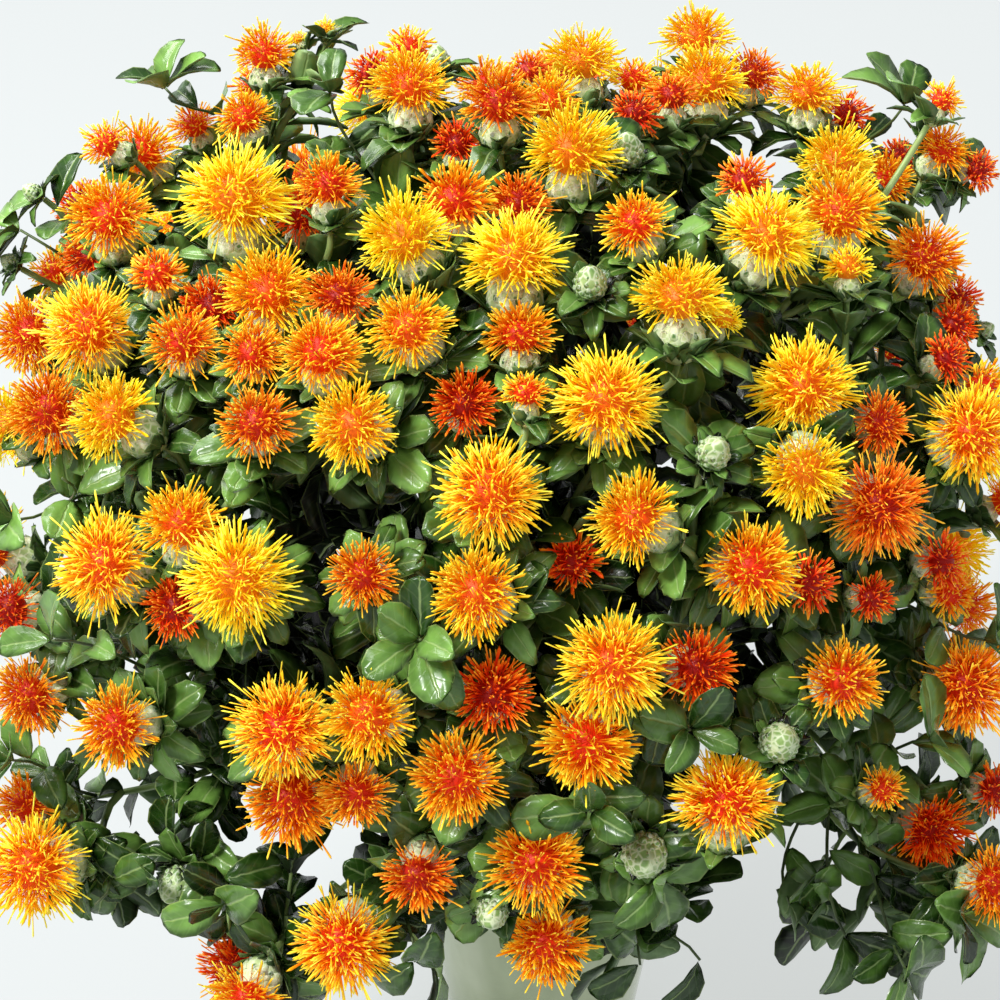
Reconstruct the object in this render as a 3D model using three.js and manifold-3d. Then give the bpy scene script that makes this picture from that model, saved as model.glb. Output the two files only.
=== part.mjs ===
import * as THREE from "three";
import { mergeVertices } from "three/addons/utils/BufferGeometryUtils.js";
import Module from "manifold-3d";

// A bushy safflower in a plain glazed pot: seven plants that share one pot of soil.
// Millimetres, +Z up, origin at the centre of the pot's underside, photograph's side at -Y.

const wasm = await Module();
wasm.setup();

// Pot and soil
const POT = { height: 120, rimRadius: 68, footRadius: 50, wall: 5, floor: 7, lip: 3, sides: 24 };
const SOIL = { top: 104, mound: 5, gap: 0.3, holeSides: 6 };

// Stems: each main stem stands in a plain hole in the soil
const STEM = { footRadius: 3.6, topRadius: 2.4, sides: 4, depthInSoil: 26, holeGap: 1.2, bends: 4 };
const STEM_CURVE = { bendAt: 0.5, arch: 34 };
const ROOTS = { outer: 6, radius: 29, firstAngle: 30 };
const FORK = { outerReach: 92, outerHeight: 280, centreHeight: 340, lean: -11 };
const MIDDLE = { cone: 27, from: new THREE.Vector3(-15.4, 0, 190) };

// Where the main stems carry leaves below their branches: leg of the stem and share of that leg
const LOW_LEAVES = [[1, 0.6], [2, 0.5]];

// Side branches leave a stem, or each other, at short joints that stay apart. They keep clear of all else
// from a few mm off their joint, and fork by a fair angle. To find their ways, stems and heads are taken
// as beads.
const BRANCH = { footRadius: 2, topRadius: 1.5, apart: 9, shortest: 32, straight: 50, bendAt: 0.56 };
const BRANCH_CURVE = { pull: 0.36, bendCost: 0.5 };
const CLEAR = { from: 10, forkAngle: 26, tries: 250, bead: 4, spare: 0.8 };
const LEAF_CLEAR = { from: 0.25, angle: 56 };
const JOINT = { height: 3.2, spacing: 6, lowest: 0.3 };

// The bush is an egg-shaped crown, and the photograph looks down on it from the front
const CROWN = new THREE.Vector3(-22, 0, 327);
const CROWN_RADII = new THREE.Vector3(241, 235, 212);
const VIEW = { elevation: 33, distance: 1180, focal: 2500, half: 500 };

// A tuft of florets sits on its netted globe, with sizes as shares of the tuft's radius
const TUFT = { reach: 0.95, coreRadius: 0.6, core: -0.12, crownRadius: 0.34, crown: 0.36, top: 0.5 };
const SETTLE = { steps: 80, clearance: 0.9, back: 0.4, front: 0.15 };
const SMALL_TUFT = 15.5;
const SKIRT_LEAN = 62;
const GLOBE = { neckRadius: 0.3, neck: -0.5, radius: 0.58, middle: -1.02, foot: -1.6 };
const BUD = { foot: -1.25, belly: -0.1, mouth: 0.75, mouthRadius: 0.4, tip: 1.15 };
const LEAF = { length: 31, width: 16, keel: 1.7, belly: 0.58, clearance: 0.6, least: 0.82, spread: 0.36 };

// How far a leaf tips up from its face, in degrees, in the order in which the rises are tried
const ROSETTE_RISES = [24, 36, 8];
const JOINT_RISES = [42, 56, 26];

// Flower heads as the photograph shows them. Columns: place in the 1000 x 1000 photograph, width of the
// tuft in mm, how far behind the crown's face it sits in mm, degrees between its axis and the line to
// the viewer, and the hour of a clock face that its axis points to.
const HEADS = [
  [265, 50, 27, 0, 70, 12], [255, 82, 24, 12, 60, 11], [243, 115, 25, 26, 60, 11],
  [297, 38, 9, 0, 80, 11], [326, 27, 10, 0, 80, 12], [103, 142, 22, 0, 70, 10],
  [140, 150, 31, 0, 55, 11], [193, 122, 24, 20, 60, 11], [110, 213, 37, 0, 40, 12],
  [78, 202, 24, 18, 50, 11], [88, 253, 26, 22, 45, 11], [50, 272, 24, 20, 50, 10],
  [235, 192, 45, 0, 55, 12], [302, 210, 28, 30, 50, 12], [329, 181, 27, 4, 60, 12],
  [157, 272, 24, 2, 50, 12], [87, 325, 39, 0, 35, 11], [24, 335, 34, 2, 45, 9],
  [183, 340, 29, 2, 30, 12], [268, 288, 36, 0, 45, 12], [213, 303, 26, 24, 45, 12],
  [340, 293, 27, 10, 45, 12], [253, 352, 26, 8, 20, 12], [322, 350, 32, 0, 35, 12],
  [410, 47, 24, 12, 75, 12], [410, 82, 34, 0, 60, 12], [370, 72, 24, 20, 65, 11],
  [500, 98, 31, 4, 60, 12], [530, 68, 22, 22, 70, 12], [550, 98, 26, 14, 60, 12],
  [582, 57, 34, 0, 75, 12], [633, 76, 22, 24, 70, 12], [637, 110, 22, 30, 60, 1],
  [572, 145, 37, 0, 55, 12], [457, 140, 22, 32, 55, 12], [456, 197, 31, 0, 50, 12],
  [520, 200, 26, 16, 60, 12], [402, 232, 35, 0, 60, 11], [515, 252, 40, 0, 55, 12],
  [634, 221, 28, 0, 50, 11], [408, 325, 32, 0, 40, 11], [520, 330, 28, 12, 65, 12],
  [697, 33, 31, 0, 75, 12], [707, 78, 36, 0, 65, 12], [756, 72, 26, 14, 60, 1],
  [672, 92, 24, 22, 65, 12], [808, 90, 31, 0, 65, 12], [849, 112, 24, 16, 60, 1],
  [944, 98, 18, 0, 80, 1], [944, 147, 25, 0, 50, 1], [981, 171, 20, 4, 60, 3],
  [902, 155, 20, 25, 55, 1], [745, 178, 24, 2, 50, 12], [838, 158, 33, 0, 60, 12],
  [840, 208, 37, 0, 50, 12], [886, 178, 26, 14, 60, 1], [771, 230, 40, 0, 50, 1],
  [848, 264, 20, 2, 75, 12], [927, 255, 33, 0, 40, 1], [960, 298, 22, 25, 50, 2],
  [957, 323, 22, 28, 50, 2], [950, 358, 22, 12, 50, 2], [680, 292, 37, 0, 70, 12],
  [724, 315, 18, 2, 70, 1], [985, 388, 24, 20, 45, 3], [803, 384, 40, 0, 35, 11],
  [46, 411, 34, 4, 35, 10], [108, 415, 35, 0, 60, 10], [257, 421, 29, 0, 25, 12],
  [350, 424, 33, 0, 30, 10], [465, 402, 26, 14, 25, 12], [526, 390, 19, 2, 65, 12],
  [607, 397, 40, 0, 30, 12], [883, 423, 25, 4, 35, 3], [976, 432, 40, 0, 25, 2],
  [805, 474, 33, 0, 30, 6], [490, 492, 38, 0, 10, 12], [884, 508, 38, 0, 35, 4],
  [182, 520, 32, 6, 50, 12], [630, 515, 34, 0, 55, 10], [100, 562, 40, 0, 40, 10],
  [234, 580, 41, 0, 15, 10], [172, 607, 26, 20, 30, 9], [6, 610, 28, 12, 50, 9],
  [362, 576, 26, 4, 15, 9], [474, 592, 34, 0, 30, 10], [572, 560, 24, 34, 20, 12],
  [756, 568, 35, 0, 30, 3], [813, 583, 24, 14, 40, 3], [945, 562, 24, 30, 40, 3],
  [953, 592, 24, 26, 40, 3], [874, 598, 20, 34, 40, 3], [26, 698, 34, 0, 40, 8],
  [113, 727, 33, 0, 35, 9], [282, 727, 38, 0, 15, 12], [365, 716, 34, 0, 30, 9],
  [291, 804, 37, 8, 30, 6], [357, 797, 28, 18, 30, 6], [28, 868, 44, 0, 35, 9],
  [22, 806, 28, 18, 35, 9], [493, 692, 30, 16, 20, 12], [455, 778, 35, 0, 15, 9],
  [613, 664, 39, 0, 15, 12], [588, 746, 37, 2, 20, 6], [701, 668, 30, 12, 30, 3],
  [845, 680, 31, 0, 20, 2], [971, 686, 40, 0, 25, 3], [726, 795, 39, 0, 50, 12],
  [885, 788, 20, 0, 45, 2], [936, 832, 34, 16, 45, 4], [1000, 885, 32, 0, 40, 3],
  [998, 790, 24, 20, 45, 3], [418, 881, 29, 6, 45, 6], [537, 862, 37, 0, 15, 12],
  [341, 947, 41, 0, 25, 7], [545, 946, 35, 0, 20, 7], [235, 972, 34, 8, 40, 8],
  [245, 1005, 34, 0, 45, 7],
];

// Closed buds, pale globes with no tuft. Columns as above, with the globe's own width.
const BUDS = [
  [590, 282, 16, 4, 40, 12], [627, 150, 17, 6, 50, 12], [714, 452, 16, 4, 30, 1], [780, 742, 19, 2, 20, 1],
  [645, 857, 22, 0, 20, 6], [176, 886, 20, 0, 45, 7], [492, 914, 16, 4, 30, 6], [437, 60, 14, 4, 70, 12],
  [32, 192, 10, 0, 70, 10], [10, 262, 10, 0, 70, 10], [985, 330, 10, 0, 60, 2],
];

// Leafy shoots with no flower. Columns as above, with the length of their end leaves.
const SHOOTS = [
  [790, 905, 34, 0, 60, 5], [845, 935, 36, 0, 60, 5], [905, 968, 36, 0, 60, 5], [962, 915, 34, 0, 60, 4],
  [700, 960, 32, 6, 60, 5], [640, 965, 30, 10, 60, 6], [150, 868, 32, 4, 50, 7], [95, 905, 34, 0, 55, 8],
  [225, 905, 32, 6, 45, 7], [415, 962, 30, 8, 60, 6], [12, 760, 32, 0, 60, 9], [52, 640, 30, 4, 50, 9],
  [14, 520, 32, 0, 60, 9], [62, 478, 30, 8, 50, 10], [985, 640, 32, 0, 60, 3], [930, 740, 32, 4, 50, 3],
  [20, 230, 30, 0, 65, 10], [165, 88, 30, 0, 65, 11], [330, 92, 30, 0, 60, 12], [905, 105, 30, 0, 65, 1],
  [660, 880, 30, 6, 40, 5], [590, 812, 28, 8, 30, 6], [420, 640, 28, 10, 20, 9], [690, 730, 28, 8, 30, 4],
];

// The sides that the photograph doesn't show repeat the same mix by a rule
const HIDDEN = { spots: 130, lowest: -0.42, away: 0.05, apart: 57, sink: 0.09, rise: 0.5, seed: 11 };
const HIDDEN_WIDTHS = [38, 30, 34, 40, 27, 36];
const HALF_HIDDEN = 10;

function seededRandom(seed) {
  let state = seed;
  return () => {
    state = (state * 1664525 + 1013904223) % 4294967296;
    return state / 4294967296;
  };
}

const radians = THREE.MathUtils.degToRad;
const UP = new THREE.Vector3(0, 0, 1);

// Places read from the photograph

const [viewCos, viewSin] = [Math.cos(radians(VIEW.elevation)), Math.sin(radians(VIEW.elevation))];
const toViewer = new THREE.Vector3(0, -viewCos, viewSin);
const viewUp = new THREE.Vector3(0, viewSin, viewCos);
const viewRight = new THREE.Vector3(1, 0, 0);
const viewer = CROWN.clone().addScaledVector(toViewer, VIEW.distance);

function sightLine(x, y) {
  return toViewer.clone().multiplyScalar(-VIEW.focal)
    .addScaledVector(viewRight, x - VIEW.half)
    .addScaledVector(viewUp, VIEW.half - y)
    .normalize();
}

// Distance from the viewer to the crown's face along a line of sight, or to where it passes closest
function distanceToCrown(line) {
  const start = viewer.clone().sub(CROWN).divide(CROWN_RADII);
  const step = line.clone().divide(CROWN_RADII);
  const a = step.lengthSq();
  const b = start.dot(step);
  const spare = b * b - a * (start.lengthSq() - 1);
  return (-b - Math.sqrt(Math.max(spare, 0))) / a;
}

function pointingTo(lean, hour) {
  const turn = radians(hour * 30);
  const across = viewRight.clone().multiplyScalar(Math.sin(turn)).addScaledVector(viewUp, Math.cos(turn));
  const tip = radians(lean);
  return toViewer.clone().multiplyScalar(Math.cos(tip)).addScaledVector(across, Math.sin(tip));
}

function placed(kind, rows) {
  return rows.map(([x, y, width, behind, lean, hour]) => {
    const line = sightLine(x, y);
    const far = distanceToCrown(line) + behind;
    return { kind, line, far, behind, radius: width / 2, lean, axis: pointingTo(lean, hour) };
  });
}

function placeOf(head) {
  return head.at?.clone() ?? viewer.clone().addScaledVector(head.line, head.far);
}

// A head is a round tuft in front of its smaller globe
function ballsOf(head) {
  const tuft = { at: placeOf(head), radius: TUFT.reach * head.radius };
  const middle = placeOf(head).addScaledVector(head.axis, GLOBE.middle * head.radius);
  return head.kind === "head" ? [tuft, { at: middle, radius: GLOBE.radius * head.radius }] : [tuft];
}

function overlapOf(one, other) {
  const laps = ballsOf(one).flatMap((a) =>
    ballsOf(other).map((b) => a.radius + b.radius + SETTLE.clearance - a.at.distanceTo(b.at)));
  return Math.max(...laps);
}

// Heads that would run into each other slide apart along their lines of sight
function settle(heads) {
  for (let step = 0; step < SETTLE.steps; step += 1) {
    for (let i = 0; i < heads.length; i += 1) {
      for (let j = i + 1; j < heads.length; j += 1) {
        const lap = overlapOf(heads[i], heads[j]);
        if (lap > 0) {
          const [back, front] = heads[i].far > heads[j].far ? [heads[i], heads[j]] : [heads[j], heads[i]];
          back.far += SETTLE.back * lap + 0.05;
          front.far -= SETTLE.front * lap;
        }
      }
    }
  }
}

function hiddenHeads(shown) {
  const random = seededRandom(HIDDEN.seed);
  const found = [];
  for (let spot = 0; spot < HIDDEN.spots; spot += 1) {
    const height = 1 - (spot + 0.5) / HIDDEN.spots * (1 - HIDDEN.lowest);
    const turn = spot * Math.PI * (3 - Math.sqrt(5));
    const ring = Math.sqrt(1 - height * height);
    const outward = new THREE.Vector3(ring * Math.cos(turn), ring * Math.sin(turn), height);
    const at = outward.clone().multiply(CROWN_RADII).multiplyScalar(1 - HIDDEN.sink * random()).add(CROWN);
    const normal = outward.clone().divide(CROWN_RADII).normalize();
    const radius = HIDDEN_WIDTHS[Math.floor(random() * HIDDEN_WIDTHS.length)] / 2;
    const axis = normal.clone().addScaledVector(UP, HIDDEN.rise).normalize();
    const clear = [...shown, ...found].every((other) => placeOf(other).distanceTo(at) > HIDDEN.apart);
    if (normal.dot(viewer.clone().sub(at).normalize()) < -HIDDEN.away && clear) {
      found.push({ kind: "head", at, behind: 0, radius, axis });
    }
  }
  return found;
}

// A shell is a closed skin grown ring by ring, whose faces are raised to points or drawn out to blades

function newShell() {
  return { points: [], faces: [] };
}

function addPoint(shell, point) {
  shell.points.push(point);
  return shell.points.length - 1;
}

function addRing(shell, centre, along, side, radius, count, turn = 0) {
  const u = side.clone().addScaledVector(along, -side.dot(along)).normalize();
  const v = along.clone().cross(u);
  const ring = [];
  for (let i = 0; i < count; i += 1) {
    const angle = radians(turn) + (2 * Math.PI * i) / count;
    const point = centre.clone()
      .addScaledVector(u, radius * Math.cos(angle))
      .addScaledVector(v, radius * Math.sin(angle));
    ring.push(addPoint(shell, point));
  }
  return ring;
}

// Joins two rings of equal count, or of 3 and 6. Returns the faces whose edge lies on the upper ring
// first, then those whose edge lies on the lower one.
function joinRings(shell, lower, upper) {
  const up = [];
  const down = [];
  const next = (ring, i) => ring[(i + 1) % ring.length];
  const last = (ring, i) => ring[(i + ring.length - 1) % ring.length];
  if (lower.length === upper.length) {
    lower.forEach((point, i) => {
      down.push([point, next(lower, i), upper[i]]);
      up.push([next(upper, i), upper[i], next(lower, i)]);
    });
  } else if (lower.length < upper.length) {
    lower.forEach((point, i) => {
      up.push([upper[2 * i + 1], upper[2 * i], point]);
      up.push([upper[2 * i], last(upper, 2 * i), point]);
      down.push([point, next(lower, i), upper[2 * i + 1]]);
    });
  } else {
    upper.forEach((point, i) => {
      down.push([lower[2 * i], lower[2 * i + 1], point]);
      down.push([last(lower, 2 * i), lower[2 * i], point]);
      up.push([next(upper, i), point, lower[2 * i + 1]]);
    });
  }
  shell.faces.push(...up, ...down);
  return [up, down];
}

function swapFace(shell, face, faces) {
  shell.faces.splice(shell.faces.indexOf(face), 1, ...faces);
}

function raiseFace(shell, face, tip) {
  const top = addPoint(shell, tip);
  const [a, b, c] = face;
  swapFace(shell, face, [[a, b, top], [b, c, top], [c, a, top]]);
}

function middleOf(shell, indices) {
  const sum = new THREE.Vector3();
  indices.forEach((index) => sum.add(shell.points[index]));
  return sum.divideScalar(indices.length);
}

// The three corners of a blade's belly and its tip. The face's first two corners are the leaf's upper side.
function bladePoints(shell, face, along, length, width) {
  const [p, q, r] = face.map((index) => shell.points[index]);
  const root = p.clone().add(q).multiplyScalar(0.5);
  const side = q.clone().sub(p);
  side.addScaledVector(along, -side.dot(along)).normalize();
  const under = r.clone().sub(root);
  under.addScaledVector(along, -under.dot(along));
  under.addScaledVector(side, -under.dot(side)).normalize();
  const belly = root.clone().addScaledVector(along, length * LEAF.belly);
  return [
    belly.clone().addScaledVector(side, -width / 2),
    belly.clone().addScaledVector(side, width / 2),
    belly.clone().addScaledVector(under, LEAF.keel),
    root.clone().addScaledVector(along, length),
  ];
}

function growBlade(shell, face, along, length, width) {
  const [left, right, keel, tip] = bladePoints(shell, face, along, length, width)
    .map((point) => addPoint(shell, point));
  const lower = [...face];
  const upper = [left, right, keel];
  const faces = [[left, right, tip], [right, keel, tip], [keel, left, tip]];
  lower.forEach((point, i) => {
    faces.push([point, lower[(i + 1) % 3], upper[i]]);
    faces.push([upper[(i + 1) % 3], upper[i], lower[(i + 1) % 3]]);
  });
  swapFace(shell, face, faces);
}

function solidOf(shell) {
  return new wasm.Manifold(new wasm.Mesh({
    numProp: 3,
    vertProperties: new Float32Array(shell.points.flatMap((point) => point.toArray())),
    triVerts: new Uint32Array(shell.faces.flat()),
  }));
}

function solidFromGeometry(geometry) {
  geometry.deleteAttribute("normal");
  geometry.deleteAttribute("uv");
  const merged = mergeVertices(geometry, 1e-4);
  return new wasm.Manifold(new wasm.Mesh({
    numProp: 3,
    vertProperties: new Float32Array(merged.attributes.position.array),
    triVerts: new Uint32Array(merged.index.array),
  }));
}

function geometryFromSolid(solid) {
  const mesh = solid.getMesh();
  const geometry = new THREE.BufferGeometry();
  geometry.setAttribute("position", new THREE.BufferAttribute(new Float32Array(mesh.vertProperties), 3));
  geometry.setIndex(new THREE.BufferAttribute(new Uint32Array(mesh.triVerts), 1));
  geometry.computeVertexNormals();
  return geometry;
}

// A stem runs straight from bend to bend. Its joints lie on its legs, and each joint's small faces
// carry a branch and a leaf, so that the whole plant is one skin.

function ringPoints(centre, along, side, radius, count) {
  const lone = newShell();
  addRing(lone, centre, along, side, radius, count);
  return lone.points;
}

function blendRings(from, to, share) {
  return from.map((point, i) => point.clone().lerp(to[i], share));
}

function stemAlong(knots, radii, sides, side, endWay) {
  const rings = knots.map((knot, i) => {
    const before = knots[Math.max(i - 1, 0)];
    const after = knots[Math.min(i + 1, knots.length - 1)];
    const along = after.clone().sub(before).normalize();
    if (knot === knots.at(-1) && endWay) {
      along.add(endWay).normalize();
    }
    side.addScaledVector(along, -side.dot(along)).normalize();
    return ringPoints(knot, along, side, radii[i], sides);
  });
  return { knots, radii, rings, side, joints: [] };
}

function closeEnd(shell, ring, isFoot) {
  for (let i = 1; i + 1 < ring.length; i += 1) {
    shell.faces.push(isFoot ? [ring[0], ring[i + 1], ring[i]] : [ring[0], ring[i], ring[i + 1]]);
  }
}

// A main stem rises straight out of the soil to the pot's rim and then arches to its fork
function mainStem(x, y, fork) {
  const foot = new THREE.Vector3(x, y, SOIL.top - STEM.depthInSoil + SOIL.gap);
  const above = foot.clone().setZ(POT.height);
  const bend = above.clone().lerp(fork, STEM_CURVE.bendAt).addScaledVector(UP, STEM_CURVE.arch);
  const curve = new THREE.QuadraticBezierCurve3(above, bend, fork);
  const knots = [foot, ...curve.getPoints(STEM.bends)];
  const radii = knots.map((_, i) =>
    THREE.MathUtils.lerp(STEM.footRadius, STEM.topRadius, i / (knots.length - 1)));
  return stemAlong(knots, radii, STEM.sides, new THREE.Vector3(1, 0, 0));
}

function footOf(head) {
  const share = { head: GLOBE.foot, bud: BUD.foot, shoot: 0 }[head.kind];
  return placeOf(head).addScaledVector(head.axis, share * head.radius);
}

// The two rings of a joint's band on its stem's leg
function jointRings(stem, joint) {
  const half = 0.5 * JOINT.height / joint.span;
  const [from, to] = [stem.rings[joint.leg], stem.rings[joint.leg + 1]];
  return [blendRings(from, to, joint.share - half), blendRings(from, to, joint.share + half)];
}

function faceNormal(points, face) {
  const [a, b, c] = face.map((index) => points[index]);
  return b.clone().sub(a).cross(c.clone().sub(a)).normalize();
}

// The joint's face that looks most in a direction: its number among the band's faces, and its corners
function faceTowards(stem, joint, way) {
  const band = newShell();
  const [low, high] = jointRings(stem, joint).map((ring) => ring.map((point) => addPoint(band, point)));
  const faces = joinRings(band, low, high).flat();
  const looks = faces.map((face) => faceNormal(band.points, face).dot(way));
  const number = looks.indexOf(Math.max(...looks));
  return { number, corners: faces[number].map((index) => band.points[index]) };
}

// The side that a ring of three starts from so that it lies square to the corners of a face
function untwisted(corners, along) {
  const centre = corners[0].clone().add(corners[1]).add(corners[2]).divideScalar(3);
  return corners.reduce((sum, corner, i) =>
    sum.add(corner.clone().sub(centre).applyAxisAngle(along, (-2 * Math.PI * i) / 3)), new THREE.Vector3());
}

// A branch leaves its carrier forwards and arrives along its head's own axis
function branchStem(place, head) {
  const end = footOf(head);
  const length = place.at.distanceTo(end);
  const out = end.clone().sub(place.at).normalize().add(place.along).normalize();
  const first = place.at.clone().addScaledVector(out, BRANCH_CURVE.pull * length);
  const second = end.clone().addScaledVector(head.axis, -BRANCH_CURVE.pull * length);
  const bend = new THREE.CubicBezierCurve3(place.at, first, second, end).getPoint(BRANCH.bendAt);
  const knots = length < BRANCH.straight ? [place.at, end] : [place.at, bend, end];
  const radii = knots.map((_, i) =>
    THREE.MathUtils.lerp(BRANCH.footRadius, BRANCH.topRadius, i / (knots.length - 1)));
  const way = knots[1].clone().sub(place.at).normalize();
  const { number, corners } = faceTowards(place.stem, place, way);
  const stem = stemAlong(knots, radii, 3, untwisted(corners, way), head.axis);
  stem.rings[0] = corners;
  return { ...stem, way, rootFace: number };
}

// Flower heads, buds and shoots grow from the last ring of their stem and return the faces for their leaves

function growHead(shell, head, foot, side) {
  const centre = placeOf(head);
  const size = head.radius;
  const at = (share) => centre.clone().addScaledVector(head.axis, share * size);
  const ringAt = (share, radius, count) => addRing(shell, at(share), head.axis, side, radius * size, count);
  const globe = ringAt(GLOBE.middle, GLOBE.radius, 6);
  const neck = ringAt(GLOBE.neck, GLOBE.neckRadius, 3);
  const waist = ringAt(TUFT.core, TUFT.coreRadius, 6);
  const [rosette] = joinRings(shell, foot, globe);
  joinRings(shell, globe, neck);
  const [skirt] = joinRings(shell, neck, waist);
  const spiked = [];
  const isOpen = head.behind < HALF_HIDDEN;
  if (isOpen && size > SMALL_TUFT) {
    const crown = ringAt(TUFT.crown, TUFT.crownRadius, 3);
    const top = [crown[0], crown[1], crown[2]];
    spiked.push(...joinRings(shell, waist, crown).flat(), top);
    shell.faces.push(top);
  } else {
    const top = addPoint(shell, at(TUFT.top));
    waist.forEach((point, i) => spiked.push([point, waist[(i + 1) % 6], top]));
    shell.faces.push(...spiked);
  }
  if (head.lean > SKIRT_LEAN) {
    spiked.push(...skirt);
  }
  spiked.forEach((face) => {
    const outward = middleOf(shell, face).sub(at(TUFT.core)).normalize();
    raiseFace(shell, face, centre.clone().addScaledVector(outward, TUFT.reach * size));
  });
  const leaves = size > SMALL_TUFT ? 3 : 2;
  return rosette.filter((_, i) => i % 2 === 0).slice(0, isOpen ? leaves : 1);
}

function growBud(shell, head, foot, side) {
  const centre = placeOf(head);
  const at = (share) => centre.clone().addScaledVector(head.axis, share * head.radius);
  const globe = addRing(shell, at(BUD.belly), head.axis, side, head.radius, 6);
  const mouth = addRing(shell, at(BUD.mouth), head.axis, side, BUD.mouthRadius * head.radius, 3);
  const [rosette] = joinRings(shell, foot, globe);
  joinRings(shell, globe, mouth);
  const cap = [mouth[0], mouth[1], mouth[2]];
  shell.faces.push(cap);
  raiseFace(shell, cap, at(BUD.tip));
  return rosette.filter((_, i) => i % 2 === 0);
}

function growShoot(shell, head, foot, side) {
  const tip = addRing(shell, placeOf(head).addScaledVector(head.axis, 4), head.axis, side, 1, 3);
  const [rosette] = joinRings(shell, foot, tip);
  closeEnd(shell, tip, false);
  return rosette;
}

const GROW = { head: growHead, bud: growBud, shoot: growShoot };

// Leaves

// A leaf spreads outward from its face, tipped towards the stem's end by its rise in degrees
function leafDirection(shell, face, axis, rise) {
  const [p, q, r] = face.map((index) => shell.points[index]);
  const out = q.clone().sub(p).cross(r.clone().sub(p));
  out.addScaledVector(axis, -out.dot(axis)).normalize();
  return out.multiplyScalar(Math.cos(radians(rise))).addScaledVector(axis, Math.sin(radians(rise)));
}

// The blade by itself, a little longer and wider than it is grown, to see whether its place is free.
// Its face is a share of the way from the stem to the belly.
function bladeProbe(shell, leaf, from) {
  const { along } = leaf;
  const length = leaf.length + LEAF.clearance;
  const width = leaf.width + 2 * LEAF.clearance;
  const root = leaf.face.map((index) => shell.points[index]);
  const [left, right, keel, tip] = bladePoints(shell, leaf.face, along, length, width);
  const upper = [left, right, keel];
  const probe = newShell();
  probe.points = [...blendRings(root, upper, from), ...upper, tip];
  probe.faces = [[0, 2, 1], [3, 4, 6], [4, 5, 6], [5, 3, 6]];
  joinRings(probe, [0, 1, 2], [3, 4, 5]);
  return solidOf(probe);
}

function boxesMeet(a, b) {
  return [0, 1, 2].every((i) => a.min[i] < b.max[i] && b.min[i] < a.max[i]);
}

function isFree(solid, taken, mayTouch) {
  const box = solid.boundingBox();
  return !taken.some((other) => !mayTouch(other)
    && boxesMeet(box, other.box)
    && other.solid.intersect(solid).volume() > 1e-4);
}

function take(solid, owner, taken) {
  taken.push({ solid, owner, box: solid.boundingBox() });
}

// The leaf takes the first rise at which it is clear of all other pieces, or is left out
function addLeaf(shell, face, axis, length, rises, stem, branch, taken) {
  for (const rise of rises) {
    const leaf = { face, along: leafDirection(shell, face, axis, rise), length };
    leaf.width = (length * LEAF.width) / LEAF.length;
    const probe = bladeProbe(shell, leaf, 0);
    const isNear = ({ owner }) => owner !== null && (owner === stem || owner === branch);
    const isOff = isFree(bladeProbe(shell, leaf, LEAF_CLEAR.from), taken, (other) => !isNear(other));
    const isWide = !branch || leaf.along.angleTo(branch.way) > radians(LEAF_CLEAR.angle);
    if (isOff && isWide && isFree(probe, taken, isNear)) {
      take(probe, null, taken);
      growBlade(shell, face, leaf.along, leaf.length, leaf.width);
      return;
    }
  }
}

// Plants

// A stem with all that it carries, without the leaves
function loneShell(stem) {
  const shell = newShell();
  const rings = stem.rings.map((points) => points.map((point) => addPoint(shell, point)));
  closeEnd(shell, rings[0], true);
  rings.slice(1).forEach((ring, i) => joinRings(shell, rings[i], ring));
  if (stem.head) {
    GROW[stem.head.kind](shell, stem.head, rings.at(-1), stem.side);
  } else {
    closeEnd(shell, rings.at(-1), false);
  }
  return shell;
}

function newPlant(x, y, fork) {
  const main = mainStem(x, y, fork);
  LOW_LEAVES.forEach(([leg, share]) => main.joints.push(leafJoint(main, leg, share)));
  return { fork, foot: { x, y }, stems: [main] };
}

function newPlants() {
  const plants = [newPlant(0, 0, new THREE.Vector3(FORK.lean, 0, FORK.centreHeight))];
  for (let i = 0; i < ROOTS.outer; i += 1) {
    const turn = radians(ROOTS.firstAngle + (360 * i) / ROOTS.outer);
    const x = Math.cos(turn);
    const y = Math.sin(turn);
    const fork = new THREE.Vector3(FORK.outerReach * x + FORK.lean, FORK.outerReach * y, FORK.outerHeight);
    plants.push(newPlant(ROOTS.radius * x, ROOTS.radius * y, fork));
  }
  return plants;
}

// A head belongs to the middle plant near the top of the crown, and else to the plant on its side
function plantOf(head, plants) {
  const from = placeOf(head).sub(MIDDLE.from);
  if (THREE.MathUtils.radToDeg(from.angleTo(UP)) < MIDDLE.cone) {
    return plants[0];
  }
  const turn = THREE.MathUtils.radToDeg(Math.atan2(from.y, from.x)) - ROOTS.firstAngle;
  const sector = Math.round(turn / (360 / ROOTS.outer));
  return plants[1 + ((sector % ROOTS.outer) + ROOTS.outer) % ROOTS.outer];
}

// Places where a head's branch may leave its plant, with the straightest and shortest way first
function placesFor(head, plant) {
  const end = footOf(head);
  const places = [];
  plant.stems.forEach((stem, rank) => {
    const lowest = rank === 0 ? JOINT.lowest * stem.knots.length : 0;
    for (let leg = Math.floor(lowest); leg + 1 < stem.knots.length; leg += 1) {
      const [from, to] = [stem.knots[leg], stem.knots[leg + 1]];
      const span = from.distanceTo(to);
      const along = to.clone().sub(from).normalize();
      for (let run = JOINT.spacing; run < span - JOINT.spacing; run += JOINT.spacing) {
        const at = from.clone().addScaledVector(along, run);
        const way = end.clone().sub(at);
        const bend = way.angleTo(along) + way.angleTo(head.axis);
        const isApart = stem.joints.every((joint) => joint.at.distanceTo(at) > BRANCH.apart);
        if (isApart && way.length() > BRANCH.shortest) {
          const cost = way.length() * (1 + BRANCH_CURVE.bendCost * bend * bend);
          places.push({ stem, leg, share: run / span, span, at, along, cost });
        }
      }
    }
  });
  return places.sort((a, b) => a.cost - b.cost).slice(0, CLEAR.tries);
}

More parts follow.
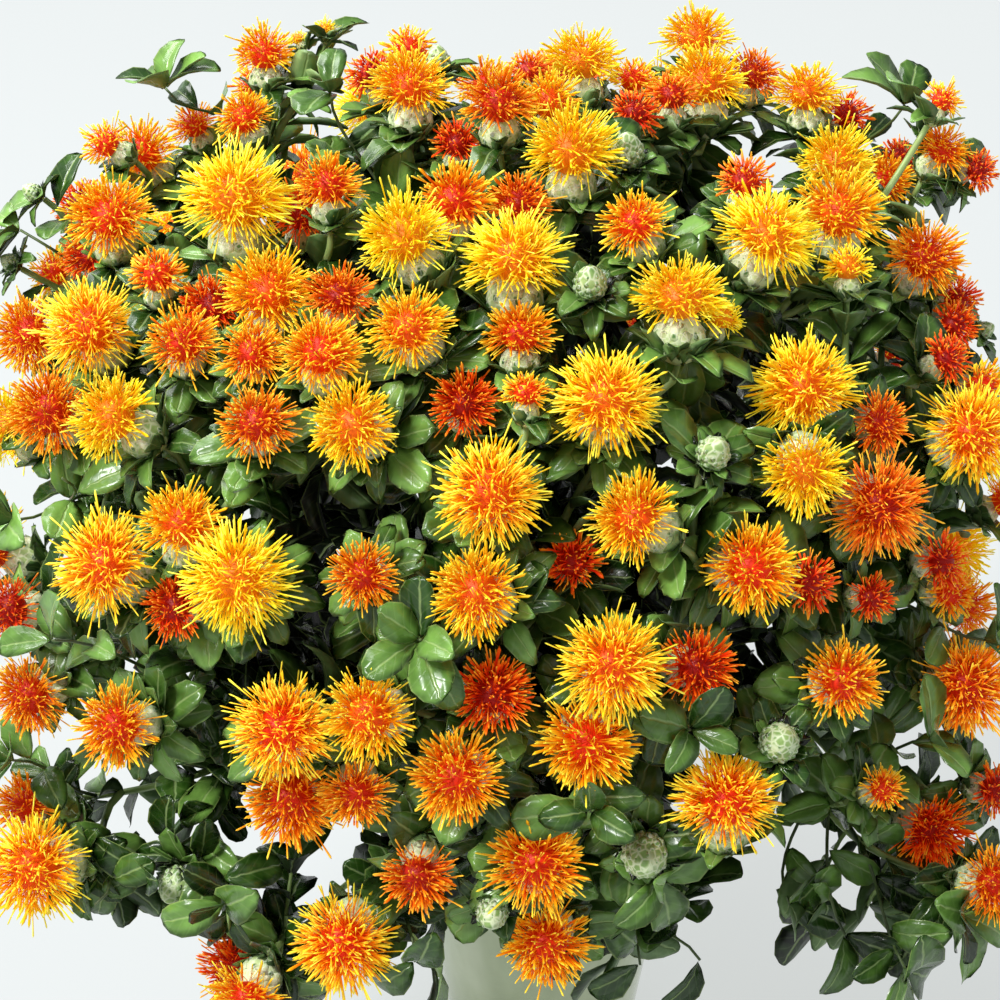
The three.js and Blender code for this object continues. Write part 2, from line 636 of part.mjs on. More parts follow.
// Beads along a stem, each with its distance from the stem's start
function beadsOf(stem) {
  const beads = [];
  let start = 0;
  for (let leg = 0; leg + 1 < stem.knots.length; leg += 1) {
    const [from, to] = [stem.knots[leg], stem.knots[leg + 1]];
    const span = from.distanceTo(to);
    const count = Math.ceil(span / CLEAR.bead);
    for (let i = 0; i < count; i += 1) {
      const radius = THREE.MathUtils.lerp(stem.radii[leg], stem.radii[leg + 1], i / count);
      const at = from.clone().lerp(to, i / count);
      beads.push({ at, radius, run: start + (span * i) / count, owner: stem });
    }
    start += span;
  }
  return beads;
}

function isClear(stem, head, carrier, strung) {
  return beadsOf(stem).every((bead) => strung.every((other) =>
    other.owner === head
    || (other.owner === carrier && bead.run < CLEAR.from)
    || bead.at.distanceTo(other.at) > bead.radius + other.radius + CLEAR.spare));
}

// A joint part of the way along a leg that carries only leaves
function leafJoint(stem, leg, share) {
  const way = stem.knots[leg + 1].clone().sub(stem.knots[leg]);
  const at = stem.knots[leg].clone().addScaledVector(way, share);
  return { leg, share, span: way.length(), at, along: way.normalize() };
}

function growOnto(plant, head, strung) {
  for (const place of placesFor(head, plant)) {
    const stem = branchStem(place, head);
    const isForked = stem.way.angleTo(place.along) > radians(CLEAR.forkAngle);
    if (isForked && isClear(stem, head, place.stem, strung)) {
      stem.head = head;
      if (head.kind === "shoot") {
        stem.joints.push(leafJoint(stem, stem.knots.length - 2, 0.5));
      }
      place.branch = stem;
      place.stem.joints.push(place);
      plant.stems.push(stem);
      strung.push(...beadsOf(stem));
      return true;
    }
  }
  return false;
}

// Grows a stem from its first ring, with a short band of faces at each joint, and closes it with its head
function growStem(shell, stem, firstRing) {
  let ring = firstRing;
  stem.rings.slice(1).forEach((to, leg) => {
    const joints = stem.joints.filter((joint) => joint.leg === leg).sort((a, b) => a.share - b.share);
    joints.forEach((joint) => {
      const [low, high] = jointRings(stem, joint)
        .map((points) => points.map((point) => addPoint(shell, point)));
      joinRings(shell, ring, low);
      joint.faces = joinRings(shell, low, high).flat();
      ring = high;
    });
    const next = to.map((point) => addPoint(shell, point));
    joinRings(shell, ring, next);
    ring = next;
  });
  if (stem.head) {
    stem.rosette = GROW[stem.head.kind](shell, stem.head, ring, stem.side);
  } else {
    closeEnd(shell, ring, false);
  }
}

// The branch starts from the corners of its face on the joint
function growBranch(shell, joint) {
  const face = joint.faces[joint.branch.rootFace];
  shell.faces.splice(shell.faces.indexOf(face), 1);
  growStem(shell, joint.branch, face);
}

function growPlant(plant) {
  const shell = newShell();
  const [main] = plant.stems;
  const foot = main.rings[0].map((point) => addPoint(shell, point));
  closeEnd(shell, foot, true);
  growStem(shell, main, foot);
  plant.stems.forEach((stem) => stem.joints.filter((joint) => joint.branch)
    .forEach((joint) => growBranch(shell, joint)));
  plant.shell = shell;
}

function addLeaves(plant, taken, random) {
  plant.stems.forEach((stem) => {
    const size = stem.head?.kind === "shoot" ? 2 * stem.head.radius : LEAF.length;
    const length = () => size * (LEAF.least + LEAF.spread * random());
    (stem.rosette ?? []).forEach((face) =>
      addLeaf(plant.shell, face, stem.head.axis, length(), ROSETTE_RISES, stem, null, taken));
    stem.joints.forEach((joint) => {
      const upper = joint.faces.slice(0, stem.rings[0].length);
      const free = upper.filter((face) => joint.faces.indexOf(face) !== joint.branch?.rootFace);
      free.slice(0, joint.branch ? 1 : free.length).forEach((face) =>
        addLeaf(plant.shell, face, joint.along, length(), JOINT_RISES, stem, joint.branch, taken));
    });
  });
}

function growPlants() {
  const random = seededRandom(29);
  const flowering = [...placed("head", HEADS), ...placed("bud", BUDS)];
  settle(flowering);
  const heads = [...flowering, ...hiddenHeads(flowering), ...placed("shoot", SHOOTS)];
  const plants = newPlants();
  heads.forEach((head) => {
    head.plant = plantOf(head, plants);
    head.reach = footOf(head).distanceTo(head.plant.fork);
  });
  heads.sort((a, b) => a.reach - b.reach);
  const strung = plants.flatMap((plant) => beadsOf(plant.stems[0]));
  strung.push(...heads.flatMap((head) => ballsOf(head).map((ball) => ({ ...ball, owner: head }))));
  heads.forEach((head) => {
    if (![head.plant, ...plants].some((plant) => growOnto(plant, head, strung))) {
      console.warn("no clear way for", head.kind, placeOf(head).toArray().map(Math.round));
    }
  });
  const taken = [];
  plants.forEach((plant) => growPlant(plant));
  plants.forEach((plant) => plant.stems.forEach((stem) => take(solidOf(loneShell(stem)), stem, taken)));
  plants.forEach((plant) => addLeaves(plant, taken, random));
  return plants;
}

// Pot and soil

function potGeometry() {
  const { height, rimRadius, footRadius, wall, floor, lip, sides } = POT;
  const inner = rimRadius - lip - wall;
  const profile = [
    [0, 0], [footRadius - 3, 0], [footRadius - 0.8, 1], [footRadius, 4],
    [rimRadius - lip, height - 10], [rimRadius - 0.6, height - 7], [rimRadius, height - 4],
    [rimRadius - 0.8, height - 1], [rimRadius - 3, height], [inner + 1, height - 1], [inner, height - 5],
    [footRadius - wall, floor + 5], [footRadius - wall - 4, floor], [0, floor],
  ].map(([radius, z]) => new THREE.Vector2(radius, z));
  return new THREE.LatheGeometry(profile, sides).rotateX(Math.PI / 2);
}

// Radius of the pot's inner wall at a height
function innerRadius(z) {
  const low = POT.floor + 5;
  const share = (z - low) / (POT.height - 5 - low);
  return THREE.MathUtils.lerp(POT.footRadius - POT.wall, POT.rimRadius - POT.lip - POT.wall, share);
}

function soilSolid(plants) {
  const gap = SOIL.gap;
  const profile = [
    [0, POT.floor + gap], [POT.footRadius - POT.wall - 4.6, POT.floor + gap],
    [innerRadius(POT.floor + 5) - gap - 0.3, POT.floor + 5.2],
    [innerRadius(SOIL.top) - gap - 0.3, SOIL.top], [innerRadius(SOIL.top) - 16, SOIL.top + 3],
    [24, SOIL.top + SOIL.mound], [0, SOIL.top + SOIL.mound],
  ].map(([radius, z]) => new THREE.Vector2(radius, z));
  let soil = solidFromGeometry(new THREE.LatheGeometry(profile, POT.sides).rotateX(Math.PI / 2));
  const depth = STEM.depthInSoil + SOIL.mound + 10;
  const holeRadius = STEM.footRadius + STEM.holeGap;
  plants.forEach(({ foot: { x, y } }) => {
    const hole = new THREE.CylinderGeometry(holeRadius, holeRadius, depth, SOIL.holeSides)
      .rotateX(Math.PI / 2)
      .translate(x, y, SOIL.top - STEM.depthInSoil + depth / 2);
    soil = soil.subtract(solidFromGeometry(hole));
  });
  return soil;
}

const looks = {
  glaze: new THREE.MeshStandardMaterial({ color: "#93a07c", roughness: 0.15, metalness: 0 }),
  soil: new THREE.MeshStandardMaterial({ color: "#3a2a1e", roughness: 0.95, metalness: 0 }),
  foliage: new THREE.MeshStandardMaterial({ color: "#3c6a33", roughness: 0.4, metalness: 0 }),
};

function piece(name, geometry, material) {
  const mesh = new THREE.Mesh(geometry, material);
  mesh.name = name;
  return mesh;
}

function geometryOf(shell) {
  const corners = shell.faces.flat().flatMap((index) => shell.points[index].toArray());
  const geometry = new THREE.BufferGeometry();
  geometry.setAttribute("position", new THREE.Float32BufferAttribute(corners, 3));
  geometry.computeVertexNormals();
  return geometry;
}

const plants = growPlants();
const safflower = new THREE.Group();
safflower.add(piece("pot", potGeometry(), looks.glaze));
safflower.add(piece("soil", geometryFromSolid(soilSolid(plants)), looks.soil));
plants.forEach((plant, i) => {
  safflower.add(piece(`plant_${i + 1}`, geometryOf(plant.shell), looks.foliage));
});

export default safflower;
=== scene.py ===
import math
import random

import bmesh
import bpy
import numpy as np
from mathutils import Matrix, Vector


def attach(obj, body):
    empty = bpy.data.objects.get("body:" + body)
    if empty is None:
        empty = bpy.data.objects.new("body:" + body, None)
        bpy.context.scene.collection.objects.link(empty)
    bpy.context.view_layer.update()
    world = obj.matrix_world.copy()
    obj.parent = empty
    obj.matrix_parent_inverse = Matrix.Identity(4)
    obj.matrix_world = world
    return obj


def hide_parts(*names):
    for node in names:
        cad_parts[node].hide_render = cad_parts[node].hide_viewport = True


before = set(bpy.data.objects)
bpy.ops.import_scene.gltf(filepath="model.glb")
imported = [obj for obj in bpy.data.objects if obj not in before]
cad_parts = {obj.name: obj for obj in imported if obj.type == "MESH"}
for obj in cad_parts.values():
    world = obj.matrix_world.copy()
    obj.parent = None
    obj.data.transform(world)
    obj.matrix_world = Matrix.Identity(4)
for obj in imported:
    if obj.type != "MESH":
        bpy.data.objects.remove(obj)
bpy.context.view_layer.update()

# A bushy safflower in a plain glazed pot. Sizes are in millimetres, as in the part's source, and are turned
# to metres where a piece is made. +Z is up and the photograph's side is at -Y.

MM = 0.001
GOLDEN_ANGLE = math.pi * (3 - math.sqrt(5))
UP = np.array([0.0, 0.0, 1.0])

# The plants' driving sizes, the same as the part's, so that each bloom and stem sits on its solid
POT_HEIGHT = 120
SOIL = {"top": 104, "gap": 0.3}
STEM = {"foot_radius": 3.6, "top_radius": 2.4, "depth_in_soil": 26, "bends": 4, "bend_at": 0.5, "arch": 34}
ROOTS = {"outer": 6, "radius": 29, "first_angle": 30}
FORK = {"outer_reach": 92, "outer_height": 280, "centre_height": 340, "lean": -11}
MIDDLE = {"cone": 27, "from": np.array([-15.4, 0, 190])}
LOW_LEAVES = [[1, 0.6], [2, 0.5]]
LOWEST_JOINT = 0.3
JOINT_SPACING = 6
BRANCH = {"foot_radius": 2, "top_radius": 1.5, "apart": 9, "shortest": 32, "straight": 50}
BRANCH_CURVE = {"bend_at": 0.56, "pull": 0.36, "bend_cost": 0.5}
CLEAR = {"from": 10, "fork_angle": 26, "tries": 250, "bead": 4, "spare": 0.8}
CROWN = np.array([-22.0, 0, 327])
CROWN_RADII = np.array([241.0, 235, 212])
VIEW = {"elevation": 33, "distance": 1180, "focal": 2500, "half": 500}
TUFT_REACH = 0.95
SETTLE = {"steps": 80, "clearance": 0.9, "back": 0.4, "front": 0.15, "nudge": 0.05, "near": (2.5, 40)}
GLOBE = {"radius": 0.58, "middle": -1.02, "foot": -1.6}
BUD_FOOT = -1.25
HIDDEN = {"spots": 130, "lowest": -0.42, "away": 0.05, "apart": 57, "sink": 0.09, "rise": 0.5, "seed": 11}
HIDDEN_WIDTHS = [38, 30, 34, 40, 27, 36]

# Flower heads. Columns: place in the 1000 x 1000 photograph, width of the tuft in mm, how far behind the
# crown's face it sits in mm, degrees between its axis and the line to the viewer, the hour of a clock face
# that its axis points to, and its ripeness, from 1 for a young yellow tuft to 9 for an old red one.
HEADS = [
    [265, 50, 27, 0, 70, 12, 5], [255, 82, 24, 12, 60, 11, 6], [243, 115, 25, 26, 60, 11, 5],
    [297, 38, 9, 0, 80, 11, 1], [326, 27, 10, 0, 80, 12, 1], [103, 142, 22, 0, 70, 10, 5],
    [140, 150, 31, 0, 55, 11, 5], [193, 122, 24, 20, 60, 11, 6], [110, 213, 37, 0, 40, 12, 5],
    [78, 202, 24, 18, 50, 11, 9], [88, 253, 26, 22, 45, 11, 9], [50, 272, 24, 20, 50, 10, 5],
    [235, 192, 45, 0, 55, 12, 2], [302, 210, 28, 30, 50, 12, 9], [329, 181, 27, 4, 60, 12, 6],
    [157, 272, 24, 2, 50, 12, 6], [87, 325, 39, 0, 35, 11, 4], [24, 335, 34, 2, 45, 9, 6],
    [183, 340, 29, 2, 30, 12, 6], [268, 288, 36, 0, 45, 12, 4], [213, 303, 26, 24, 45, 12, 9],
    [340, 293, 27, 10, 45, 12, 8], [253, 352, 26, 8, 20, 12, 6], [322, 350, 32, 0, 35, 12, 5],
    [410, 47, 24, 12, 75, 12, 5], [410, 82, 34, 0, 60, 12, 4], [370, 72, 24, 20, 65, 11, 9],
    [500, 98, 31, 4, 60, 12, 7], [530, 68, 22, 22, 70, 12, 8], [550, 98, 26, 14, 60, 12, 4],
    [582, 57, 34, 0, 75, 12, 2], [633, 76, 22, 24, 70, 12, 5], [637, 110, 22, 30, 60, 1, 9],
    [572, 145, 37, 0, 55, 12, 2], [457, 140, 22, 32, 55, 12, 9], [456, 197, 31, 0, 50, 12, 6],
    [520, 200, 26, 16, 60, 12, 8], [402, 232, 35, 0, 60, 11, 1], [515, 252, 40, 0, 55, 12, 2],
    [634, 221, 28, 0, 50, 11, 5], [408, 325, 32, 0, 40, 11, 4], [520, 330, 28, 12, 65, 12, 6],
    [697, 33, 31, 0, 75, 12, 3], [707, 78, 36, 0, 65, 12, 3], [756, 72, 26, 14, 60, 1, 8],
    [672, 92, 24, 22, 65, 12, 8], [808, 90, 31, 0, 65, 12, 3], [849, 112, 24, 16, 60, 1, 9],
    [944, 98, 18, 0, 80, 1, 5], [944, 147, 25, 0, 50, 1, 6], [981, 171, 20, 4, 60, 3, 9],
    [902, 155, 20, 25, 55, 1, 9], [745, 178, 24, 2, 50, 12, 8], [838, 158, 33, 0, 60, 12, 2],
    [840, 208, 37, 0, 50, 12, 4], [886, 178, 26, 14, 60, 1, 6], [771, 230, 40, 0, 50, 1, 2],
    [848, 264, 20, 2, 75, 12, 2], [927, 255, 33, 0, 40, 1, 7], [960, 298, 22, 25, 50, 2, 9],
    [957, 323, 22, 28, 50, 2, 9], [950, 358, 22, 12, 50, 2, 9], [680, 292, 37, 0, 70, 12, 2],
    [724, 315, 18, 2, 70, 1, 1], [985, 388, 24, 20, 45, 3, 5], [803, 384, 40, 0, 35, 11, 3],
    [46, 411, 34, 4, 35, 10, 7], [108, 415, 35, 0, 60, 10, 2], [257, 421, 29, 0, 25, 12, 7],
    [350, 424, 33, 0, 30, 10, 3], [465, 402, 26, 14, 25, 12, 9], [526, 390, 19, 2, 65, 12, 5],
    [607, 397, 40, 0, 30, 12, 3], [883, 423, 25, 4, 35, 3, 8], [976, 432, 40, 0, 25, 2, 4],
    [805, 474, 33, 0, 30, 6, 2], [490, 492, 38, 0, 10, 12, 4], [884, 508, 38, 0, 35, 4, 8],
    [182, 520, 32, 6, 50, 12, 4], [630, 515, 34, 0, 55, 10, 4], [100, 562, 40, 0, 40, 10, 4],
    [234, 580, 41, 0, 15, 10, 2], [172, 607, 26, 20, 30, 9, 9], [6, 610, 28, 12, 50, 9, 9],
    [362, 576, 26, 4, 15, 9, 7], [474, 592, 34, 0, 30, 10, 4], [572, 560, 24, 34, 20, 12, 9],
    [756, 568, 35, 0, 30, 3, 5], [813, 583, 24, 14, 40, 3, 9], [945, 562, 24, 30, 40, 3, 9],
    [953, 592, 24, 26, 40, 3, 6], [874, 598, 20, 34, 40, 3, 9], [26, 698, 34, 0, 40, 8, 7],
    [113, 727, 33, 0, 35, 9, 6], [282, 727, 38, 0, 15, 12, 5], [365, 716, 34, 0, 30, 9, 4],
    [291, 804, 37, 8, 30, 6, 7], [357, 797, 28, 18, 30, 6, 7], [28, 868, 44, 0, 35, 9, 4],
    [22, 806, 28, 18, 35, 9, 7], [493, 692, 30, 16, 20, 12, 9], [455, 778, 35, 0, 15, 9, 6],
    [613, 664, 39, 0, 15, 12, 4], [588, 746, 37, 2, 20, 6, 5], [701, 668, 30, 12, 30, 3, 9],
    [845, 680, 31, 0, 20, 2, 6], [971, 686, 40, 0, 25, 3, 7], [726, 795, 39, 0, 50, 12, 5],
    [885, 788, 20, 0, 45, 2, 6], [936, 832, 34, 16, 45, 4, 9], [1000, 885, 32, 0, 40, 3, 7],
    [998, 790, 24, 20, 45, 3, 9], [418, 881, 29, 6, 45, 6, 8], [537, 862, 37, 0, 15, 12, 6],
    [341, 947, 41, 0, 25, 7, 5], [545, 946, 35, 0, 20, 7, 6], [235, 972, 34, 8, 40, 8, 9],
    [245, 1005, 34, 0, 45, 7, 5],
]

# Closed buds, with the globe's own width
BUDS = [
    [590, 282, 16, 4, 40, 12, 1], [627, 150, 17, 6, 50, 12, 1], [714, 452, 16, 4, 30, 1, 1],
    [780, 742, 19, 2, 20, 1, 1], [645, 857, 22, 0, 20, 6, 1], [176, 886, 20, 0, 45, 7, 1],
    [492, 914, 16, 4, 30, 6, 1], [437, 60, 14, 4, 70, 12, 1], [32, 192, 10, 0, 70, 10, 1],
    [10, 262, 10, 0, 70, 10, 1], [985, 330, 10, 0, 60, 2, 1],
]

# Leafy shoots with no flower, with the length of their end leaves
SHOOTS = [
    [790, 905, 34, 0, 60, 5, 1], [845, 935, 36, 0, 60, 5, 1], [905, 968, 36, 0, 60, 5, 1],
    [962, 915, 34, 0, 60, 4, 1], [700, 960, 32, 6, 60, 5, 1], [640, 965, 30, 10, 60, 6, 1],
    [150, 868, 32, 4, 50, 7, 1], [95, 905, 34, 0, 55, 8, 1], [225, 905, 32, 6, 45, 7, 1],
    [415, 962, 30, 8, 60, 6, 1], [12, 760, 32, 0, 60, 9, 1], [52, 640, 30, 4, 50, 9, 1],
    [14, 520, 32, 0, 60, 9, 1], [62, 478, 30, 8, 50, 10, 1], [985, 640, 32, 0, 60, 3, 1],
    [930, 740, 32, 4, 50, 3, 1], [20, 230, 30, 0, 65, 10, 1], [165, 88, 30, 0, 65, 11, 1],
    [330, 92, 30, 0, 60, 12, 1], [905, 105, 30, 0, 65, 1, 1], [660, 880, 30, 6, 40, 5, 1],
    [590, 812, 28, 8, 30, 6, 1], [420, 640, 28, 10, 20, 9, 1], [690, 730, 28, 8, 30, 4, 1],
]


def seeded_random(seed):
    """The same row of random shares as in the part's source."""
    state = seed

    def draw():
        nonlocal state
        state = (state * 1664525 + 1013904223) % 4294967296
        return state / 4294967296

    return draw


def unit(v):
    return v / math.sqrt(v @ v)


def angle_between(a, b):
    return math.acos(max(-1.0, min(1.0, unit(a) @ unit(b))))


# Places read from the photograph

elevation = math.radians(VIEW["elevation"])
TO_VIEWER = np.array([0, -math.cos(elevation), math.sin(elevation)])
VIEW_UP = np.array([0, math.sin(elevation), math.cos(elevation)])
VIEW_RIGHT = np.array([1.0, 0, 0])
VIEWER = CROWN + TO_VIEWER * VIEW["distance"]


def sight_line(x, y):
    return unit(TO_VIEWER * -VIEW["focal"] + VIEW_RIGHT * (x - VIEW["half"]) + VIEW_UP * (VIEW["half"] - y))


def distance_to_crown(line):
    """Distance from the viewer to the crown's face, or to where the line passes it closest."""
    start = (VIEWER - CROWN) / CROWN_RADII
    step = line / CROWN_RADII
    a = step @ step
    b = start @ step
    spare = b * b - a * (start @ start - 1)
    return (-b - math.sqrt(max(spare, 0))) / a


def pointing_to(lean, hour):
    turn = math.radians(hour * 30)
    aside = VIEW_RIGHT * math.sin(turn) + VIEW_UP * math.cos(turn)
    tip = math.radians(lean)
    return TO_VIEWER * math.cos(tip) + aside * math.sin(tip)


class Head:
    """A flower head, bud or shoot: what a branch carries at its end."""

    def __init__(self, kind, radius, axis, ripeness, line=None, far=0, at=None):
        self.kind = kind
        self.radius = radius
        self.axis = axis
        self.ripeness = ripeness
        self.line = line
        self.far = far
        self.at = at

    def place(self):
        return VIEWER + self.line * self.far if self.at is None else self.at

    def foot(self):
        share = {"head": GLOBE["foot"], "bud": BUD_FOOT, "shoot": 0}[self.kind]
        return self.place() + self.axis * share * self.radius

    def balls(self):
        tuft = (self.place(), TUFT_REACH * self.radius)
        middle = self.place() + self.axis * GLOBE["middle"] * self.radius
        return [tuft, (middle, GLOBE["radius"] * self.radius)] if self.kind == "head" else [tuft]


def placed(kind, rows):
    heads = []
    for x, y, width, behind, lean, hour, ripeness in rows:
        line = sight_line(x, y)
        far = distance_to_crown(line) + behind
        heads.append(Head(kind, width / 2, pointing_to(lean, hour), ripeness, line, far))
    return heads


def overlap_of(one, other):
    return max(
        a_radius + b_radius + SETTLE["clearance"] - math.dist(a, b)
        for a, a_radius in one.balls() for b, b_radius in other.balls()
    )


def settle(heads):
    """Heads that would run into each other slide apart along their lines of sight."""
    widths, spare = SETTLE["near"]
    pairs = [
        (one, other) for i, one in enumerate(heads) for other in heads[i + 1:]
        if math.dist(one.place(), other.place()) < widths * (one.radius + other.radius) + spare
    ]
    for _ in range(SETTLE["steps"]):
        for one, other in pairs:
            lap = overlap_of(one, other)
            if lap > 0:
                back, front = (one, other) if one.far > other.far else (other, one)
                back.far += SETTLE["back"] * lap + SETTLE["nudge"]
                front.far -= SETTLE["front"] * lap


def hidden_heads(shown):
    """The sides that the photograph doesn't show repeat the same mix by a rule."""
    draw = seeded_random(HIDDEN["seed"])
    found = []
    for spot in range(HIDDEN["spots"]):
        height = 1 - (spot + 0.5) / HIDDEN["spots"] * (1 - HIDDEN["lowest"])
        ring = math.sqrt(1 - height * height)
        turn = spot * GOLDEN_ANGLE
        outward = np.array([ring * math.cos(turn), ring * math.sin(turn), height])
        at = outward * CROWN_RADII * (1 - HIDDEN["sink"] * draw()) + CROWN
        normal = unit(outward / CROWN_RADII)
        radius = HIDDEN_WIDTHS[int(draw() * len(HIDDEN_WIDTHS))] / 2
        axis = unit(normal + UP * HIDDEN["rise"])
        clear = all(math.dist(other.place(), at) > HIDDEN["apart"] for other in shown + found)
        if normal @ unit(VIEWER - at) < -HIDDEN["away"] and clear:
            found.append(Head("head", radius, axis, 1 + (spot * 5) % 9, at=at))
    return found


# Branches find their ways as they do in the part's source

class Stem:
    """A stem that runs from bend to bend, with its smooth way and the joints where others leave it."""

    def __init__(self, knots, radii, way, head=None):
        self.knots = knots
        self.radii = radii
        self.way = way
        self.head = head
        self.joints = []

    def beads(self):
        """Places, radii and distances from the start of a row of beads along the stem."""
        beads = []
        start = 0
        for leg in range(len(self.knots) - 1):
            a, b = self.knots[leg], self.knots[leg + 1]
            span = math.dist(a, b)
            count = math.ceil(span / CLEAR["bead"])
            for i in range(count):
                share = i / count
                radius = self.radii[leg] + (self.radii[leg + 1] - self.radii[leg]) * share
                beads.append([*(a + (b - a) * share), radius, start + span * share])
            start += span
        return np.array(beads)


def spread(first, last, count):
    return [first + (last - first) * i / (count - 1) for i in range(count)]


def main_stem(x, y, fork):
    foot = np.array([x, y, SOIL["top"] - STEM["depth_in_soil"] + SOIL["gap"]])
    above = np.array([x, y, POT_HEIGHT])
    bend = above + (fork - above) * STEM["bend_at"] + UP * STEM["arch"]

    def way(t):
        return above * (1 - t) ** 2 + bend * 2 * t * (1 - t) + fork * t * t

    knots = [foot] + [way(i / STEM["bends"]) for i in range(STEM["bends"] + 1)]
    stem = Stem(knots, spread(STEM["foot_radius"], STEM["top_radius"], len(knots)), way)
    stem.joints = [knots[leg] + (knots[leg + 1] - knots[leg]) * share for leg, share in LOW_LEAVES]
    return stem


def branch_stem(at, along, head):
    """A branch leaves its carrier forwards and arrives along its head's own axis."""
    end = head.foot()
    length = math.dist(at, end)
    out = unit(unit(end - at) + along)
    first = at + out * BRANCH_CURVE["pull"] * length
    second = end - head.axis * BRANCH_CURVE["pull"] * length

    def way(t):
        s = 1 - t
        return at * s ** 3 + first * 3 * s * s * t + second * 3 * s * t * t + end * t ** 3

    knots = [at, end] if length < BRANCH["straight"] else [at, way(BRANCH_CURVE["bend_at"]), end]
    return Stem(knots, spread(BRANCH["foot_radius"], BRANCH["top_radius"], len(knots)), way, head)


class Plant:
    def __init__(self, x, y, fork):
        self.fork = fork
        self.stems = [main_stem(x, y, fork)]

    def places_for(self, head):
        """Places where a head's branch may leave, with the straightest and shortest way first."""
        end = head.foot()
        places = []
        for rank, stem in enumerate(self.stems):
            lowest = int(LOWEST_JOINT * len(stem.knots)) if rank == 0 else 0
            for leg in range(lowest, len(stem.knots) - 1):
                a, b = stem.knots[leg], stem.knots[leg + 1]
                span = math.dist(a, b)
                along = unit(b - a)
                for i in range(1, math.ceil((span - JOINT_SPACING) / JOINT_SPACING)):
                    at = a + along * i * JOINT_SPACING
                    way = end - at
                    length = math.sqrt(way @ way)
                    apart = all(math.dist(joint, at) > BRANCH["apart"] for joint in stem.joints)
                    if apart and length > BRANCH["shortest"]:
                        bend = angle_between(way, along) + angle_between(way, head.axis)
                        cost = length * (1 + BRANCH_CURVE["bend_cost"] * bend * bend)
                        places.append((cost, len(places), stem, at, along))
        return sorted(places, key=lambda place: place[:2])[:CLEAR["tries"]]

    def take(self, head, strung):
        """Grows a branch for the head, if there is a clear way for it."""
        for _, _, carrier, at, along in self.places_for(head):
            stem = branch_stem(at, along, head)
            forks = angle_between(stem.knots[1] - at, along) > math.radians(CLEAR["fork_angle"])
            if forks and strung.clear_for(stem, head, carrier):
                if head.kind == "shoot":
                    stem.joints.append((stem.knots[-2] + stem.knots[-1]) / 2)
                carrier.joints.append(at)
                self.stems.append(stem)
                strung.add(stem.beads()[:, :4], stem)
                return True
        return False


class Strung:
    """All beads so far, each with the stem or head that it belongs to."""

    def __init__(self):
        self.beads = np.zeros((0, 4))
        self.owners = np.zeros(0, dtype=np.int64)

    def add(self, beads, owner):
        self.beads = np.vstack([self.beads, beads])
        self.owners = np.append(self.owners, np.full(len(beads), id(owner)))

    def clear_for(self, stem, head, carrier):
        beads = stem.beads()
        others = self.beads[self.owners != id(head)]
        owners = self.owners[self.owners != id(head)]
        apart = np.linalg.norm(beads[:, None, :3] - others[None, :, :3], axis=2)
        room = beads[:, None, 3] + others[None, :, 3] + CLEAR["spare"]
        carried = (owners == id(carrier))[None, :] & (beads[:, 4] < CLEAR["from"])[:, None]
        return bool(np.all((apart > room) | carried))


def new_plants():
    plants = [Plant(0, 0, np.array([FORK["lean"], 0, FORK["centre_height"]]))]
    for i in range(ROOTS["outer"]):
        turn = math.radians(ROOTS["first_angle"] + 360 * i / ROOTS["outer"])
        x, y = math.cos(turn), math.sin(turn)
        reach = FORK["outer_reach"]
        fork = np.array([reach * x + FORK["lean"], reach * y, FORK["outer_height"]])
        plants.append(Plant(ROOTS["radius"] * x, ROOTS["radius"] * y, fork))
    return plants


def plant_of(head, plants):
    """The middle plant carries the top of the crown, and each other plant its own side."""
    way = head.place() - MIDDLE["from"]
    if math.degrees(angle_between(way, UP)) < MIDDLE["cone"]:
        return plants[0]
    turn = math.degrees(math.atan2(way[1], way[0])) - ROOTS["first_angle"]
    return plants[1 + math.floor(turn / (360 / ROOTS["outer"]) + 0.5) % ROOTS["outer"]]


def grow_plants():
    flowering = placed("head", HEADS) + placed("bud", BUDS)
    settle(flowering)
    heads = flowering + hidden_heads(flowering) + placed("shoot", SHOOTS)
    plants = new_plants()
    owner = {id(head): plant_of(head, plants) for head in heads}
    heads.sort(key=lambda head: math.dist(head.foot(), owner[id(head)].fork))
    strung = Strung()
    for plant in plants:
        strung.add(plant.stems[0].beads()[:, :4], plant.stems[0])
    for head in heads:
        strung.add(np.array([[*at, radius] for at, radius in head.balls()]), head)
    for head in heads:
        if not any(plant.take(head, strung) for plant in [owner[id(head)]] + plants):
            print("no clear way for", head.kind, head.place())
    return plants, heads


# Shapes and how they are set into pieces

SEEDS = {"tufts": 40, "heads": 100, "leaves": 200, "back": 300, "soil": 5, "crumbs": 8}


class Piece:
    """A piece that grows as finished shapes are set into it, each with one number for its own shade."""

    def __init__(self, number="shade"):
        self.bm = bmesh.new()
        self.number = number
        self.counts = []
        self.shades = []

    def set_in(self, shape, place, shade=0.5):
        copy = shape.copy()
        copy.transform(place)
        self.bm.from_mesh(copy)
        bpy.data.meshes.remove(copy)
        self.counts.append(len(shape.vertices))
        self.shades.append(shade)

    def shape(self, name):
        """The finished mesh, with its numbers as an attribute."""
        mesh = bpy.data.meshes.new(name)
        self.bm.to_mesh(mesh)
        self.bm.free()
        shades = mesh.attributes.new(self.number, "FLOAT", "POINT")
        shades.data.foreach_set("value", np.repeat(self.shades, self.counts))
        return mesh


def finished(bm, name):
    """A shape's mesh with its faces turned outwards."""
    bmesh.ops.recalc_face_normals(bm, faces=bm.faces)
    mesh = bpy.data.meshes.new(name)
    bm.to_mesh(mesh)
    bm.free()
    return mesh


def standing(at, axis, size, turn=0.0):
    """The place of a shape that stands at a point along an axis, one unit of it as large as size."""
    upright = Vector(axis).to_track_quat("Z", "Y").to_matrix().to_4x4()
    return Matrix.Translation(Vector(at)) @ upright @ Matrix.Rotation(turn, 4, "Z") @ Matrix.Scale(size, 4)


